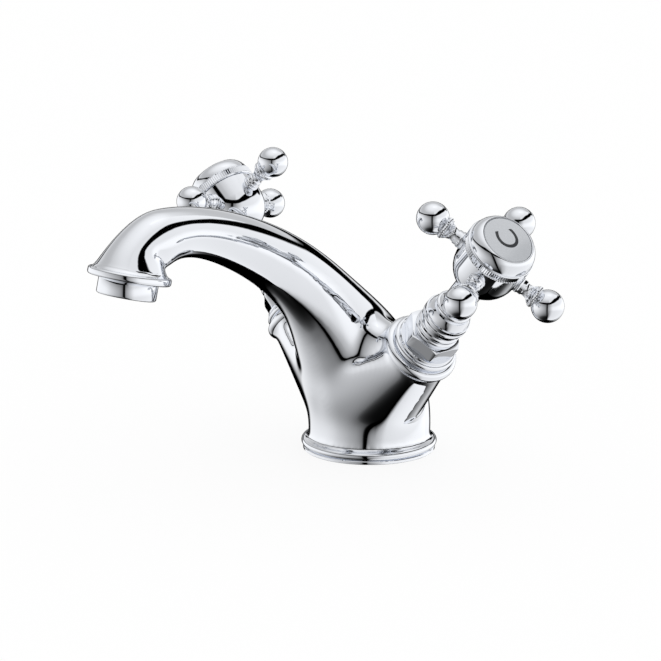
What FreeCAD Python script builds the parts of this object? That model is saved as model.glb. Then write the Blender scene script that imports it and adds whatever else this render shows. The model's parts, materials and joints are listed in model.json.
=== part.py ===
"""Basin mixer tap with a swan neck spout and two crosshead valves, in millimetres.

The origin is the centre of the base on the deck, +Z up. The spout reaches towards -Y, the cold valve
leans towards +X and the hot valve towards -X. A valve's pieces are drawn about their own axis, with
heights measured along it from the point where both valve axes meet.
"""
import FreeCAD, Part
import Sketcher
import math
import os
from types import SimpleNamespace

from FreeCAD import Placement, Rotation, Vector

# Driving dimensions, in millimetres and degrees. Names that end in angle are in degrees.
SIZES = {
    # base on the deck
    "flange_radius": 27.5,
    "flange_band_radius": 26.8,
    "flange_band_height": 1.6,
    "flange_bead_radius": 1.6,
    "base_gasket_inner_radius": 20.4,
    "base_gasket_outer_radius": 23.4,
    "base_gasket_thickness": 1.6,
    "inlet_radius": 4.46,
    "inlet_depth": 12.0,
    "inlet_spacing": 18.0,
    "inlet_setback": 5.0,
    "stud_hole_radius": 3.32,
    "stud_hole_depth": 14.0,
    "stud_hole_advance": 11.0,
    # body and spout
    "body_radius": 24.6,
    "spout_reach": 119.6,
    "arch_height": 100.8,
    "mouth_drop": 20.8,
    "mouth_lean_angle": 13.6,
    "mouth_radius": 14.6,
    "mouth_flange_radius": 15.75,
    "mouth_flange_height": 3.0,
    "mouth_edge_radius": 1.0,
    "waterway_radius": 6.0,
    "inlet_drilling_radius": 3.0,
    "outlet_drilling_radius": 3.2,
    "waterway_start_height": 46.0,
    "waterway_start_advance": 14.0,
    "waterway_crest_setback": 16.6,
    # valve arms of the casting
    "axis_height": 12.0,
    "valve_lean_angle": 45.0,
    "valve_sweep_angle": 4.4,
    "axis_advance": 2.5,
    "arm_root_length": 12.0,
    "arm_root_radius": 17.0,
    "arm_neck_radius": 13.2,
    "arm_length": 54.4,
    "arm_bead_radius": 15.1,
    "arm_bead_curve": 2.3,
    "arm_blend_radius": 11.0,
    "thread_radius": 10.2,
    "thread_length": 12.0,
    "nose_radius": 9.0,
    "nose_length": 10.8,
    "seat_guide_length": 3.6,
    # headwork
    "headwork_groove_radius": 12.3,
    "headwork_groove_height": 0.6,
    "headwork_flange_radius": 13.1,
    "headwork_flange_curve": 1.2,
    "headwork_step_radius": 12.0,
    "headwork_step_height": 1.4,
    "hex_flats": 20.0,
    "hex_height": 6.6,
    "hex_chamfer": 0.5,
    "hex_turn_angle": 33.0,
    "collar_radius": 8.9,
    "collar_height": 7.4,
    "chamber_radius": 7.6,
    "disc_radius": 7.3,
    "fixed_disc_thickness": 3.2,
    "moving_disc_thickness": 3.0,
    "port_inner_radius": 2.2,
    "port_outer_radius": 5.6,
    "port_angle": 70.0,
    "seat_gasket_thickness": 2.6,
    "seat_gasket_inner_radius": 5.8,
    "seat_gasket_stand": 0.5,
    "window_height": 3.0,
    "window_width": 7.0,
    "thrust_washer_thickness": 0.5,
    # spindle
    "spindle_radius": 3.95,
    "spindle_foot_radius": 6.6,
    "spindle_foot_height": 2.6,
    "tongue_width": 3.0,
    "tongue_length": 12.0,
    "tongue_height": 1.2,
    "spindle_end_length": 25.0,
    "spindle_flat_depth": 0.8,
    "spindle_flat_length": 9.0,
    "o_ring_section_radius": 0.6,
    "o_ring_first_length": 4.0,
    "o_ring_pitch": 4.0,
    "clip_thickness": 0.7,
    "clip_width": 2.2,
    "clip_gap_angle": 70.0,
    "clip_groove_depth": 0.6,
    "screw_radius": 2.0,
    "screw_length": 11.0,
    "screw_head_radius": 3.8,
    "screw_head_height": 2.6,
    "screw_socket_flats": 3.0,
    "screw_socket_depth": 1.5,
    # handle
    "handle_gap": 0.4,
    "skirt_radius": 9.4,
    "skirt_height": 3.2,
    "shoulder_radius": 9.0,
    "shoulder_top_radius": 7.6,
    "shoulder_height": 3.4,
    "shoulder_curve_radius": 9.0,
    "stem_groove_depth": 0.4,
    "stem_groove_height": 0.7,
    "stem_bead_radius": 7.5,
    "stem_bead_curve": 0.9,
    "stem_taper_height": 2.4,
    "neck_radius": 5.8,
    "neck_height": 12.5,
    "bowl_radius": 12.9,
    "hub_height": 43.6,
    "hub_web_thickness": 3.0,
    "hub_cavity_radius": 9.6,
    "hub_cavity_depth": 8.4,
    "clip_cavity_radius": 6.4,
    "clip_cavity_depth": 4.6,
    "crosshead_height": 38.0,
    "arm_seat_radius": 12.3,
    "arm_seat_width": 3.6,
    "arm_tenon_radius": 2.4,
    "arm_tenon_length": 2.4,
    "arm_collar_radius": 3.3,
    "arm_collar_length": 3.6,
    "arm_collar_taper": 0.35,
    "arm_waist_radius": 2.5,
    "arm_waist_length": 1.4,
    "arm_flare_radius": 3.9,
    "arm_flare_length": 2.6,
    "arm_flare_curve_radius": 5.2,
    "arm_ring_edge_radius": 4.35,
    "arm_ring_curve_radius": 1.32,
    "arm_ring_length": 2.2,
    "ball_circle_radius": 27.0,
    "ball_radius": 6.3,
    "cold_handle_angle": 56.5,
    "hot_handle_angle": 13.5,
    # cap and index disc
    "cap_band_radius": 13.7,
    "cap_band_height": 3.7,
    "cap_shoulder_radius": 13.1,
    "cap_shoulder_height": 1.0,
    "cap_dome_height": 4.3,
    "cap_dome_curve": 6.5,
    "cap_rim_radius": 10.7,
    "cap_spigot_length": 3.0,
    "cap_inner_radius": 8.2,
    "index_radius": 10.05,
    "index_thickness": 1.2,
    "index_crown": 0.8,
    # aerator in the spout's mouth
    "aerator_radius": 11.28,
    "aerator_height": 6.5,
    "aerator_chamfer": 0.5,
    "aerator_thread_radius": 10.75,
    "aerator_thread_length": 4.7,
    "aerator_bore_radius": 9.4,
    "aerator_lip_radius": 8.2,
    "aerator_lip_height": 1.6,
    "insert_wall": 1.1,
    "insert_floor": 1.5,
    "insert_hole_radius": 0.8,
    "insert_hole_pitch": 2.9,
    "aerator_gasket_thickness": 1.0,
    "aerator_gasket_inner_radius": 6.8,
    # fits and cuts
    "thread_clearance": 0.1,
    "nose_clearance": 0.2,
    "screw_clearance": 0.1,
    "screw_head_clearance": 0.2,
    "o_ring_side_clearance": 0.15,
    "fit_clearance": 0.05,
    "seal_clearance": 0.05,
    "cut_overrun": 1.0,
}

# The spine of the body and spout up to its last bend: distance forward as a share of the reach, height as
# a share of the arch height, radius as a share of the body radius.
SPOUT_STATION_SHARES = (
    (0.000, 0.020, 1.000),
    (0.011, 0.217, 1.003),
    (0.071, 0.392, 0.922),
    (0.167, 0.562, 0.728),
    (0.295, 0.734, 0.561),
    (0.463, 0.874, 0.479),
    (0.654, 0.972, 0.408),
    (0.815, 1.002, 0.407),
)
# The last bend over the mouth: back from the mouth's axis and up from the outlet as shares of the mouth's
# drop, radius as a share of the mouth radius.
BEND_STATION_SHARES = (
    (0.278, 0.997, 0.699),
)
# Above the mouth flange the bell flares: height above the flange as a share of the mouth radius,
# radius as a share of the mouth radius.
BELL_STATION_SHARES = (
    (0.360, 0.775),
    (0.130, 0.890),
    (-0.100, 1.010),
)
# The valves' drillings meet the waterway a little past its lower end, at this share of its long bend.
MIXING_SHARE = 0.95

# Holes in each ring about the aerator insert's centre hole, from the inside out.
INSERT_RING_HOLE_COUNTS = (6, 12)
ARM_COUNT = 4
HEX_SIDE_COUNT = 6

# Each side's direction across the deck.
SIDES = {"cold": 1, "hot": -1}

doc = FreeCAD.newDocument("basin_mixer_tap")
sheet = doc.addObject("Spreadsheet::Sheet", "sizes")


class Size:
    """A number with the sheet expression that gives it, so that sums of sizes stay bound to the sheet."""

    def __init__(self, number, text):
        self.number = number
        self.text = text

    def joined(self, other, sign, number):
        """This size and another joined by a sign, with the number they come to."""
        return Size(number, f"({self.text} {sign} {as_size(other).text})")

    def __add__(self, other):
        return self.joined(other, "+", self.number + as_size(other).number)

    def __sub__(self, other):
        return self.joined(other, "-", self.number - as_size(other).number)

    def __mul__(self, other):
        return self.joined(other, "*", self.number * as_size(other).number)

    def __truediv__(self, other):
        return self.joined(other, "/", self.number / as_size(other).number)

    def __neg__(self):
        return Size(-self.number, f"(0 - {self.text})")


def as_size(value):
    """A plain number taken as a size."""
    return value if isinstance(value, Size) else Size(value, str(value))


def root(area):
    """The square root of a size that is an area."""
    return Size(math.sqrt(area.number), f"sqrt({area.text})")


def sine(angle):
    """The sine of an angle in degrees."""
    return Size(math.sin(math.radians(angle.number)), f"sin({angle.text})")


def cosine(angle):
    """The cosine of an angle in degrees."""
    return Size(math.cos(math.radians(angle.number)), f"cos({angle.text})")


def arc_cosine(share):
    """The angle in degrees that has this cosine."""
    return Size(math.degrees(math.acos(share.number)), f"acos({share.text})")


def fill_sheet():
    """Write the sizes to the sheet and give them back by name."""
    sizes = {}
    for row, (name, number) in enumerate(SIZES.items(), start=1):
        sheet.set(f"A{row}", name)
        sheet.set(f"B{row}", str(number))
        sheet.setAlias(f"B{row}", name)
        sizes[name] = Size(number, f"sizes.{name}")
    doc.recompute()
    return SimpleNamespace(**sizes)


s = fill_sheet()

# Fixed angles: a full turn, a quarter of it and half of a hexagon's sixth.
FULL_TURN = as_size(360)
QUARTER_TURN = FULL_TURN / 4
HALF_SIXTH = FULL_TURN / HEX_SIDE_COUNT / 2

# Places along a valve's axis, each from the sizes below it.
nose_bottom = s.arm_length - s.thread_length - s.nose_length
seat_level = nose_bottom - s.seat_gasket_stand
fixed_disc_bottom = seat_level + s.seat_gasket_thickness
moving_disc_bottom = fixed_disc_bottom + s.fixed_disc_thickness
foot_bottom = moving_disc_bottom + s.moving_disc_thickness
washer_bottom = foot_bottom + s.spindle_foot_height
chamber_top = washer_bottom + s.thrust_washer_thickness
headwork_step_bottom = s.arm_length + s.headwork_groove_height + s.headwork_flange_curve * 2
hex_bottom = headwork_step_bottom + s.headwork_step_height
collar_bottom = hex_bottom + s.hex_height
headwork_top = collar_bottom + s.collar_height
handle_bottom = headwork_top + s.handle_gap
spindle_top = headwork_top + s.spindle_end_length
hub_top = handle_bottom + s.hub_height
cap_dome_bottom = hub_top + s.cap_band_height + s.cap_shoulder_height
cap_top = cap_dome_bottom + s.cap_dome_height
spindle_bore_radius = s.spindle_radius + s.fit_clearance

UPRIGHT = Placement(Vector(), Rotation(Vector(1, 0, 0), 90))


def valve_placement(side):
    """The frame of a valve: local Z runs out along its axis, local X down and outwards."""
    yaw = -s.valve_sweep_angle.number if SIDES[side] > 0 else 180 + s.valve_sweep_angle.number
    turn = Rotation(Vector(0, 0, 1), yaw) * Rotation(Vector(0, 1, 0), s.valve_lean_angle.number)
    return Placement(Vector(0, -s.axis_advance.number, s.axis_height.number), turn)


def mouth_placement():
    """The frame of the spout's mouth: the centre of the outlet, with local Z up the mouth's axis."""
    centre = Vector(0, -s.spout_reach.number, s.arch_height.number - s.mouth_drop.number)
    return Placement(centre, Rotation(Vector(1, 0, 0), -s.mouth_lean_angle.number))


def new_body(name, placement=Placement()):
    """The body of one piece, labelled with its name."""
    body = doc.addObject("PartDesign::Body", name)
    body.Label = name
    body.Placement = placement
    return body


def origin_part(body, role):
    """One of the planes and axes of the body's own origin."""
    return next(part for part in body.Origin.OriginFeatures if part.Role == role)


def attached(feature, body, role, offset=Placement()):
    """Attach a sketch or primitive to one of the body's own planes, moved by offset."""
    feature.AttachmentSupport = [(origin_part(body, role), "")]
    feature.MapMode = "FlatFace"
    feature.AttachmentOffset = offset
    return feature


def new_sketch(body, name, role, offset):
    """A sketch on one of the body's own planes, moved by offset."""
    return attached(body.newObject("Sketcher::SketchObject", name), body, role, offset)


def bind(sketch, constraint, size):
    """Add a constraint and drive it by the size's expression."""
    index = sketch.addConstraint(constraint)
    sketch.setExpression(f"Constraints[{index}]", size.text)


def hold_point(sketch, edge, end, across, up):
    """Hold one end of an edge at its place in the sketch."""
    if across.number == 0:
        sketch.addConstraint(Sketcher.Constraint("PointOnObject", edge, end, -2))
    else:
        bind(sketch, Sketcher.Constraint("DistanceX", edge, end, across.number), across)
    if up.number == 0:
        sketch.addConstraint(Sketcher.Constraint("PointOnObject", edge, end, -1))
    else:
        bind(sketch, Sketcher.Constraint("DistanceY", edge, end, up.number), up)


def arc_between(start, end, radius, bulge):
    """The shorter arc from start to end, bulging right of the way there where bulge is 1, left where -1."""
    chord = end - start
    half = chord.Length / 2
    away = Vector(chord.y, -chord.x, 0).normalize() * bulge
    centre = (start + end) / 2 - away * math.sqrt(max(radius * radius - half * half, 0))
    first = math.atan2(start.y - centre.y, start.x - centre.x)
    last = math.atan2(end.y - centre.y, end.x - centre.x)
    circle = Part.Circle(centre, Vector(0, 0, 1), radius)
    if bulge > 0:
        return Part.ArcOfCircle(circle, first, last), (1, 2)
    return Part.ArcOfCircle(circle, last, first), (2, 1)


def draw_outline(sketch, corners):
    """Draw a closed outline. A corner is (across, up), or (across, up, radius, bulge) after an arc."""
    corners = [tuple(as_size(value) for value in corner[:3]) + tuple(corner[3:]) for corner in corners]
    ends = []
    for index, corner in enumerate(corners):
        before = corners[index - 1]
        start = Vector(before[0].number, before[1].number, 0)
        end = Vector(corner[0].number, corner[1].number, 0)
        if len(corner) == 4:
            edge, pair = arc_between(start, end, corner[2].number, corner[3])
        else:
            edge, pair = Part.LineSegment(start, end), (1, 2)
        sketch.addGeometry(edge)
        ends.append(pair)
    for index, corner in enumerate(corners):
        following = (index + 1) % len(corners)
        join = Sketcher.Constraint("Coincident", index, ends[index][1], following, ends[following][0])
        sketch.addConstraint(join)
        hold_point(sketch, index, ends[index][1], corner[0], corner[1])
        if len(corner) == 4:
            bind(sketch, Sketcher.Constraint("Radius", index, corner[2].number), corner[2])


def draw_circle(sketch, radius, across=0, up=0):
    """Draw a circle about a place in the sketch."""
    across, up = as_size(across), as_size(up)
    circle = Part.Circle(Vector(across.number, up.number, 0), Vector(0, 0, 1), radius.number)
    edge = sketch.addGeometry(circle)
    hold_point(sketch, edge, 3, across, up)
    bind(sketch, Sketcher.Constraint("Radius", edge, radius.number), radius)


def turned(body, name, corners, frame=Placement(), cut=False, angle=None):
    """Turn an outline of (radius, height) corners about the frame's own Z axis."""
    offset = UPRIGHT.inverse() * frame * UPRIGHT
    sketch = new_sketch(body, f"{name}_outline", "XZ_Plane", offset)
    draw_outline(sketch, corners)
    feature = body.newObject("PartDesign::Groove" if cut else "PartDesign::Revolution", name)
    feature.Profile = sketch
    feature.ReferenceAxis = (sketch, ["V_Axis"])
    if angle is not None:
        feature.setExpression("Angle", angle.text)
    sketch.Visibility = False
    return feature


def raised(body, name, draw, height, level=0, cut=False):
    """Pad or pocket what draw puts in a sketch at a level above the body's XY plane, up by a height."""
    level = as_size(level)
    offset = Placement(Vector(0, 0, level.number), Rotation())
    sketch = new_sketch(body, f"{name}_outline", "XY_Plane", offset)
    sketch.setExpression("AttachmentOffset.Base.z", level.text)
    draw(sketch)
    feature = body.newObject("PartDesign::Pocket" if cut else "PartDesign::Pad", name)
    feature.Profile = sketch
    feature.Reversed = cut
    feature.setExpression("Length", height.text)
    sketch.Visibility = False
    return feature


def polar_copies(body, name, feature, count):
    """Repeat a feature about the body's own Z axis."""
    pattern = body.newObject("PartDesign::PolarPattern", name)
    pattern.Originals = [feature]
    pattern.Axis = (origin_part(body, "Z_Axis"), [""])
    pattern.Angle = FULL_TURN.number
    pattern.Occurrences = count
    body.Tip = pattern


def drilled(body, name, start, end, radius):
    """Drill a straight hole of a radius from one point to another."""
    way = end - start
    frame = Placement(start, Rotation(Vector(0, 0, 1), way))
    drill = attached(body.newObject("PartDesign::SubtractiveCylinder", name), body, "XY_Plane", frame)
    drill.setExpression("Radius", radius.text)
    drill.Height = way.Length


def spine_stations():
    """Points of the spout's spine with their radii, from just above the deck to inside the mouth flange."""
    stations = []
    for forward, up, share in SPOUT_STATION_SHARES:
        point = Vector(0, -s.spout_reach.number * forward, s.arch_height.number * up)
        stations.append((point, s.body_radius * share))
    for back, up, share in BEND_STATION_SHARES:
        offset = Vector(0, s.mouth_drop.number * back, s.mouth_drop.number * up)
        stations.append((mouth_placement().multVec(offset), s.mouth_radius * share))
    flange_top = s.aerator_height + s.mouth_flange_height
    for up, share in BELL_STATION_SHARES:
        level = flange_top + s.mouth_radius * up
        point = mouth_placement().multVec(Vector(0, 0, level.number))
        stations.append((point, s.mouth_radius * share))
    return stations


def loft_spine(body, name, stations):
    """Loft circles set square to the spine through its stations, square to the mouth's axis at the bell."""
    sketches = []
    mouth_way = mouth_placement().Rotation.multVec(Vector(0, 0, -1))
    bell_start = len(stations) - len(BELL_STATION_SHARES)
    for index, (point, radius) in enumerate(stations):
        before = stations[max(index - 1, 0)][0]
        after = stations[min(index + 1, len(stations) - 1)][0]
        way = mouth_way if index >= bell_start else after - before
        lean = math.degrees(math.atan2(-way.y, way.z))
        seam_turn = Rotation(Vector(0, 0, 1), -90)
        frame = Placement(point, Rotation(Vector(1, 0, 0), lean) * seam_turn)
        sketch = new_sketch(body, f"{name}_station_{index + 1}", "XY_Plane", frame)
        draw_circle(sketch, radius)
        sketch.Visibility = False
        sketches.append(sketch)
    loft = body.newObject("PartDesign::AdditiveLoft", name)
    loft.Profile = sketches[0]
    loft.Sections = sketches[1:]


def cut_bend(body, name, centre, radius, angle, backward):
    """Cut a bend of the waterway: a circle turned about a cross axis through the bend's centre."""
    frame = Placement(centre, Rotation())
    sketch = new_sketch(body, f"{name}_section", "XZ_Plane", UPRIGHT.inverse() * frame * UPRIGHT)
    draw_circle(sketch, s.waterway_radius, 0, radius)
    bend = body.newObject("PartDesign::Groove", name)
    bend.Profile = sketch
    bend.ReferenceAxis = (sketch, ["H_Axis"])
    bend.Reversed = backward
    bend.setExpression("Angle", angle.text)
    sketch.Visibility = False


def cut_waterway(body):
    """Cut the spout's waterway as two bends that meet at its crest, and give the point where waters mix."""
    rise = s.arch_height - s.waterway_start_height
    crest_advance = s.spout_reach - s.waterway_crest_setback
    run = crest_advance - s.waterway_start_advance
    long_radius = (run * run + rise * rise) / (rise * 2)
    long_angle = arc_cosine((long_radius - rise) / long_radius)
    long_centre = Vector(0, -crest_advance.number, s.arch_height.number - long_radius.number)
    cut_bend(body, "waterway_long_bend", long_centre, long_radius, long_angle, True)
    corner_advance = s.spout_reach - s.mouth_drop * sine(s.mouth_lean_angle) / cosine(s.mouth_lean_angle)
    short_angle = QUARTER_TURN - s.mouth_lean_angle
    half = short_angle / 2
    short_radius = (corner_advance - crest_advance) * cosine(half) / sine(half)
    short_centre = Vector(0, -crest_advance.number, s.arch_height.number - short_radius.number)
    cut_bend(body, "waterway_short_bend", short_centre, short_radius, short_angle, False)
    mixing_angle = math.radians(long_angle.number * MIXING_SHARE)
    return long_centre + Vector(0, math.sin(mixing_angle), math.cos(mixing_angle)) * long_radius.number


def blend_arms(body):
    """Round the seams where the arms leave the body: the tall, narrow edges beside it."""
    base = body.Tip
    names = []
    for index, edge in enumerate(base.Shape.Edges, start=1):
        box = edge.BoundBox
        beside = abs(box.Center.x) > s.arm_root_length.number
        if beside and box.ZLength > s.arm_root_radius.number > box.XLength:
            names.append(f"Edge{index}")
    fillet = body.newObject("PartDesign::Fillet", "arm_blend")
    fillet.Base = (base, names)
    fillet.setExpression("Radius", s.arm_blend_radius.text)
    doc.recompute()


def make_casting():
    """The one-piece casting: base, body, spout and the two valve arms, cored and drilled for water."""
    body = new_body("body_casting")
    band_top = s.flange_band_height
    rim_radius = s.flange_radius - s.flange_bead_radius
    bead_top = band_top + s.flange_bead_radius * 2
    turned(body, "base_flange", [
        (0, 0),
        (s.flange_band_radius, 0),
        (s.flange_band_radius, band_top),
        (rim_radius, band_top),
        (s.flange_radius, band_top + s.flange_bead_radius, s.flange_bead_radius, 1),
        (rim_radius, bead_top, s.flange_bead_radius, 1),
        (0, bead_top),
    ])
    loft_spine(body, "body_and_spout", spine_stations())
    bead_middle = s.arm_length - s.arm_bead_curve
    for side in SIDES:
        turned(body, f"{side}_arm", [
            (0, s.arm_root_length),
            (s.arm_root_radius, s.arm_root_length),
            (s.arm_neck_radius, bead_middle),
            (0, bead_middle),
        ], valve_placement(side))
    doc.recompute()
    blend_arms(body)
    bead_inner_radius = s.arm_bead_radius - s.arm_bead_curve
    over_neck = s.arm_neck_radius - bead_inner_radius
    bead_foot = bead_middle - root(s.arm_bead_curve * s.arm_bead_curve - over_neck * over_neck)
    for side in SIDES:
        turned(body, f"{side}_arm_bead", [
            (0, bead_foot),
            (s.arm_neck_radius, bead_foot),
            (s.arm_bead_radius, bead_middle, s.arm_bead_curve, 1),
            (bead_inner_radius, s.arm_length, s.arm_bead_curve, 1),
            (0, s.arm_length),
        ], valve_placement(side))
    doc.recompute()
    flange_top = s.aerator_height + s.mouth_flange_height
    turned(body, "mouth_flange", [
        (0, s.aerator_height),
        (s.mouth_flange_radius - s.mouth_edge_radius, s.aerator_height),
        (s.mouth_flange_radius, s.aerator_height + s.mouth_edge_radius, s.mouth_edge_radius, 1),
        (s.mouth_flange_radius, flange_top - s.mouth_edge_radius),
        (s.mouth_flange_radius - s.mouth_edge_radius, flange_top, s.mouth_edge_radius, 1),
        (0, flange_top),
    ], mouth_placement())
    doc.recompute()

    mixing = cut_waterway(body)
    gasket_level = s.aerator_height + s.aerator_thread_length + s.aerator_gasket_thickness
    turned(body, "mouth_thread", [
        (0, s.aerator_height - s.cut_overrun),
        (s.aerator_thread_radius + s.thread_clearance, s.aerator_height - s.cut_overrun),
        (s.aerator_thread_radius + s.thread_clearance, gasket_level),
        (0, gasket_level),
    ], mouth_placement(), cut=True)
    turned(body, "gasket_groove", [
        (s.base_gasket_inner_radius - s.seal_clearance, -s.cut_overrun),
        (s.base_gasket_outer_radius + s.seal_clearance, -s.cut_overrun),
        (s.base_gasket_outer_radius + s.seal_clearance, s.base_gasket_thickness),
        (s.base_gasket_inner_radius - s.seal_clearance, s.base_gasket_thickness),
    ], cut=True)
    raised(body, "stud_hole", lambda sketch: draw_circle(sketch, s.stud_hole_radius, 0,
                                                         -s.stud_hole_advance), s.stud_hole_depth, cut=True)
    guide_radius = s.nose_radius + s.nose_clearance
    bore_radius = s.thread_radius + s.thread_clearance
    for side, across in SIDES.items():
        inlet_across = s.inlet_spacing / 2 * across
        raised(body, f"{side}_inlet", lambda sketch: draw_circle(sketch, s.inlet_radius, inlet_across,
                                                                 s.inlet_setback), s.inlet_depth, cut=True)
        turned(body, f"{side}_valve_bore", [
            (0, seat_level),
            (guide_radius, seat_level),
            (guide_radius, seat_level + s.seat_guide_length),
            (bore_radius, seat_level + s.seat_guide_length),
            (bore_radius, s.arm_length + s.cut_overrun),
            (0, s.arm_length + s.cut_overrun),
        ], valve_placement(side), cut=True)
        inlet_top = Vector(inlet_across.number, s.inlet_setback.number, s.inlet_depth.number)
        seat = valve_placement(side).multVec(Vector(0, 0, seat_level.number))
        drilled(body, f"{side}_inlet_drilling", inlet_top, seat, s.inlet_drilling_radius)
        chamber = valve_placement(side).multVec(Vector(0, 0, foot_bottom.number))
        drilled(body, f"{side}_outlet_drilling", chamber, mixing, s.outlet_drilling_radius)


def make_base_gasket():
    """The rubber ring that seals the base to the deck."""
    body = new_body("base_gasket")
    turned(body, "ring", [
        (s.base_gasket_inner_radius, 0),
        (s.base_gasket_outer_radius, 0),
        (s.base_gasket_outer_radius, s.base_gasket_thickness),
        (s.base_gasket_inner_radius, s.base_gasket_thickness),
    ])


def make_aerator():
    """The aerator's screwed housing, its perforated insert and the gasket above them."""
    body = new_body("aerator_housing", mouth_placement())
    top = s.aerator_height + s.aerator_thread_length
    turned(body, "housing", [
        (s.aerator_lip_radius, 0),
        (s.aerator_radius - s.aerator_chamfer, 0),
        (s.aerator_radius, s.aerator_chamfer),
        (s.aerator_radius, s.aerator_height),
        (s.aerator_thread_radius, s.aerator_height),
        (s.aerator_thread_radius, top),
        (s.aerator_bore_radius, top),
        (s.aerator_bore_radius, s.aerator_lip_height),
        (s.aerator_lip_radius, s.aerator_lip_height),
    ])

    body = new_body("aerator_insert", mouth_placement())
    outer_radius = s.aerator_bore_radius - s.fit_clearance
    floor_top = s.aerator_lip_height + s.insert_floor
    turned(body, "basket", [
        (0, s.aerator_lip_height),
        (outer_radius, s.aerator_lip_height),
        (outer_radius, top),
        (outer_radius - s.insert_wall, top),
        (outer_radius - s.insert_wall, floor_top),
        (0, floor_top),
    ])
    doc.recompute()
    raised(body, "centre_hole", lambda sketch: draw_circle(sketch, s.insert_hole_radius),
           s.insert_floor + s.cut_overrun, s.aerator_lip_height, cut=True)
    for ring, hole_count in enumerate(INSERT_RING_HOLE_COUNTS, start=1):
        hole = raised(body, f"hole_{ring}", lambda sketch: draw_circle(sketch, s.insert_hole_radius,
                                                                       s.insert_hole_pitch * ring, 0),
                      s.insert_floor + s.cut_overrun, s.aerator_lip_height, cut=True)
        doc.recompute()
        polar_copies(body, f"hole_ring_{ring}", hole, hole_count)
        doc.recompute()

    body = new_body("aerator_gasket", mouth_placement())
    turned(body, "ring", [
        (s.aerator_gasket_inner_radius, top),
        (s.aerator_thread_radius, top),
        (s.aerator_thread_radius, top + s.aerator_gasket_thickness),
        (s.aerator_gasket_inner_radius, top + s.aerator_gasket_thickness),
    ])


def make_headwork(side):
    """The screwed headwork: threaded nose, flange, hexagon and collar, bored for discs and spindle."""
    body = new_body(f"{side}_headwork", valve_placement(side))
    corner_radius = s.hex_flats / 2 / cosine(HALF_SIXTH)
    thread_bottom = s.arm_length - s.thread_length
    flange_bottom = s.arm_length + s.headwork_groove_height
    flange_inner_radius = s.headwork_flange_radius - s.headwork_flange_curve
    turned(body, "barrel", [
        (s.chamber_radius, nose_bottom),
        (s.nose_radius, nose_bottom),
        (s.nose_radius, thread_bottom),
        (s.thread_radius, thread_bottom),
        (s.thread_radius, s.arm_length),
        (s.headwork_groove_radius, s.arm_length),
        (s.headwork_groove_radius, flange_bottom),
        (flange_inner_radius, flange_bottom),
        (s.headwork_flange_radius, flange_bottom + s.headwork_flange_curve, s.headwork_flange_curve, 1),
        (flange_inner_radius, headwork_step_bottom, s.headwork_flange_curve, 1),
        (s.headwork_step_radius, hex_bottom),
        (s.collar_radius, hex_bottom),
        (s.collar_radius, headwork_top),
        (spindle_bore_radius, headwork_top),
        (spindle_bore_radius, chamber_top),
        (s.chamber_radius, chamber_top),
    ])
    doc.recompute()
    hex_turn = Rotation(Vector(0, 0, 1), s.hex_turn_angle.number * SIDES[side])
    hexagon = attached(body.newObject("PartDesign::AdditivePrism", "hexagon"), body, "XY_Plane",
                       Placement(Vector(0, 0, hex_bottom.number), hex_turn))
    hexagon.Polygon = HEX_SIDE_COUNT
    hexagon.setExpression("AttachmentOffset.Base.z", hex_bottom.text)
    hexagon.setExpression("Circumradius", corner_radius.text)
    hexagon.setExpression("Height", s.hex_height.text)
    doc.recompute()
    turned(body, "hexagon_bore", [
        (0, chamber_top),
        (spindle_bore_radius, chamber_top),
        (spindle_bore_radius, headwork_top),
        (0, headwork_top),
    ], cut=True)
    outer = corner_radius + s.cut_overrun
    chamfer_run = s.hex_chamfer + s.cut_overrun
    turned(body, "hexagon_chamfer", [
        (corner_radius - s.hex_chamfer, collar_bottom),
        (outer, collar_bottom - chamfer_run * sine(HALF_SIXTH)),
        (outer, collar_bottom),
    ], cut=True)
    doc.recompute()
    window = raised(body, "window", lambda sketch: draw_outline(sketch, [
        (s.chamber_radius - s.cut_overrun, -s.window_width / 2),
        (s.nose_radius + s.cut_overrun, -s.window_width / 2),
        (s.nose_radius + s.cut_overrun, s.window_width / 2),
        (s.chamber_radius - s.cut_overrun, s.window_width / 2),
    ]), s.window_height, foot_bottom - s.window_height / 2, cut=True)
    doc.recompute()
    polar_copies(body, "windows", window, 2)


def make_seat_gasket(side):
    """The flat ring that seals the fixed disc on its seat in the arm."""
    body = new_body(f"{side}_seat_gasket", valve_placement(side))
    outer = s.chamber_radius - s.seal_clearance
    turned(body, "ring", [
        (s.seat_gasket_inner_radius, seat_level),
        (outer, seat_level),
        (outer, fixed_disc_bottom),
        (s.seat_gasket_inner_radius, fixed_disc_bottom),
    ])


def draw_port(sketch):
    """A sector-shaped port through a disc."""
    half = s.port_angle / 2
    draw_outline(sketch, [
        (s.port_inner_radius * cosine(half), -s.port_inner_radius * sine(half)),
        (s.port_outer_radius * cosine(half), -s.port_outer_radius * sine(half)),
        (s.port_outer_radius * cosine(half), s.port_outer_radius * sine(half), s.port_outer_radius, 1),
        (s.port_inner_radius * cosine(half), s.port_inner_radius * sine(half)),
    ])


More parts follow.
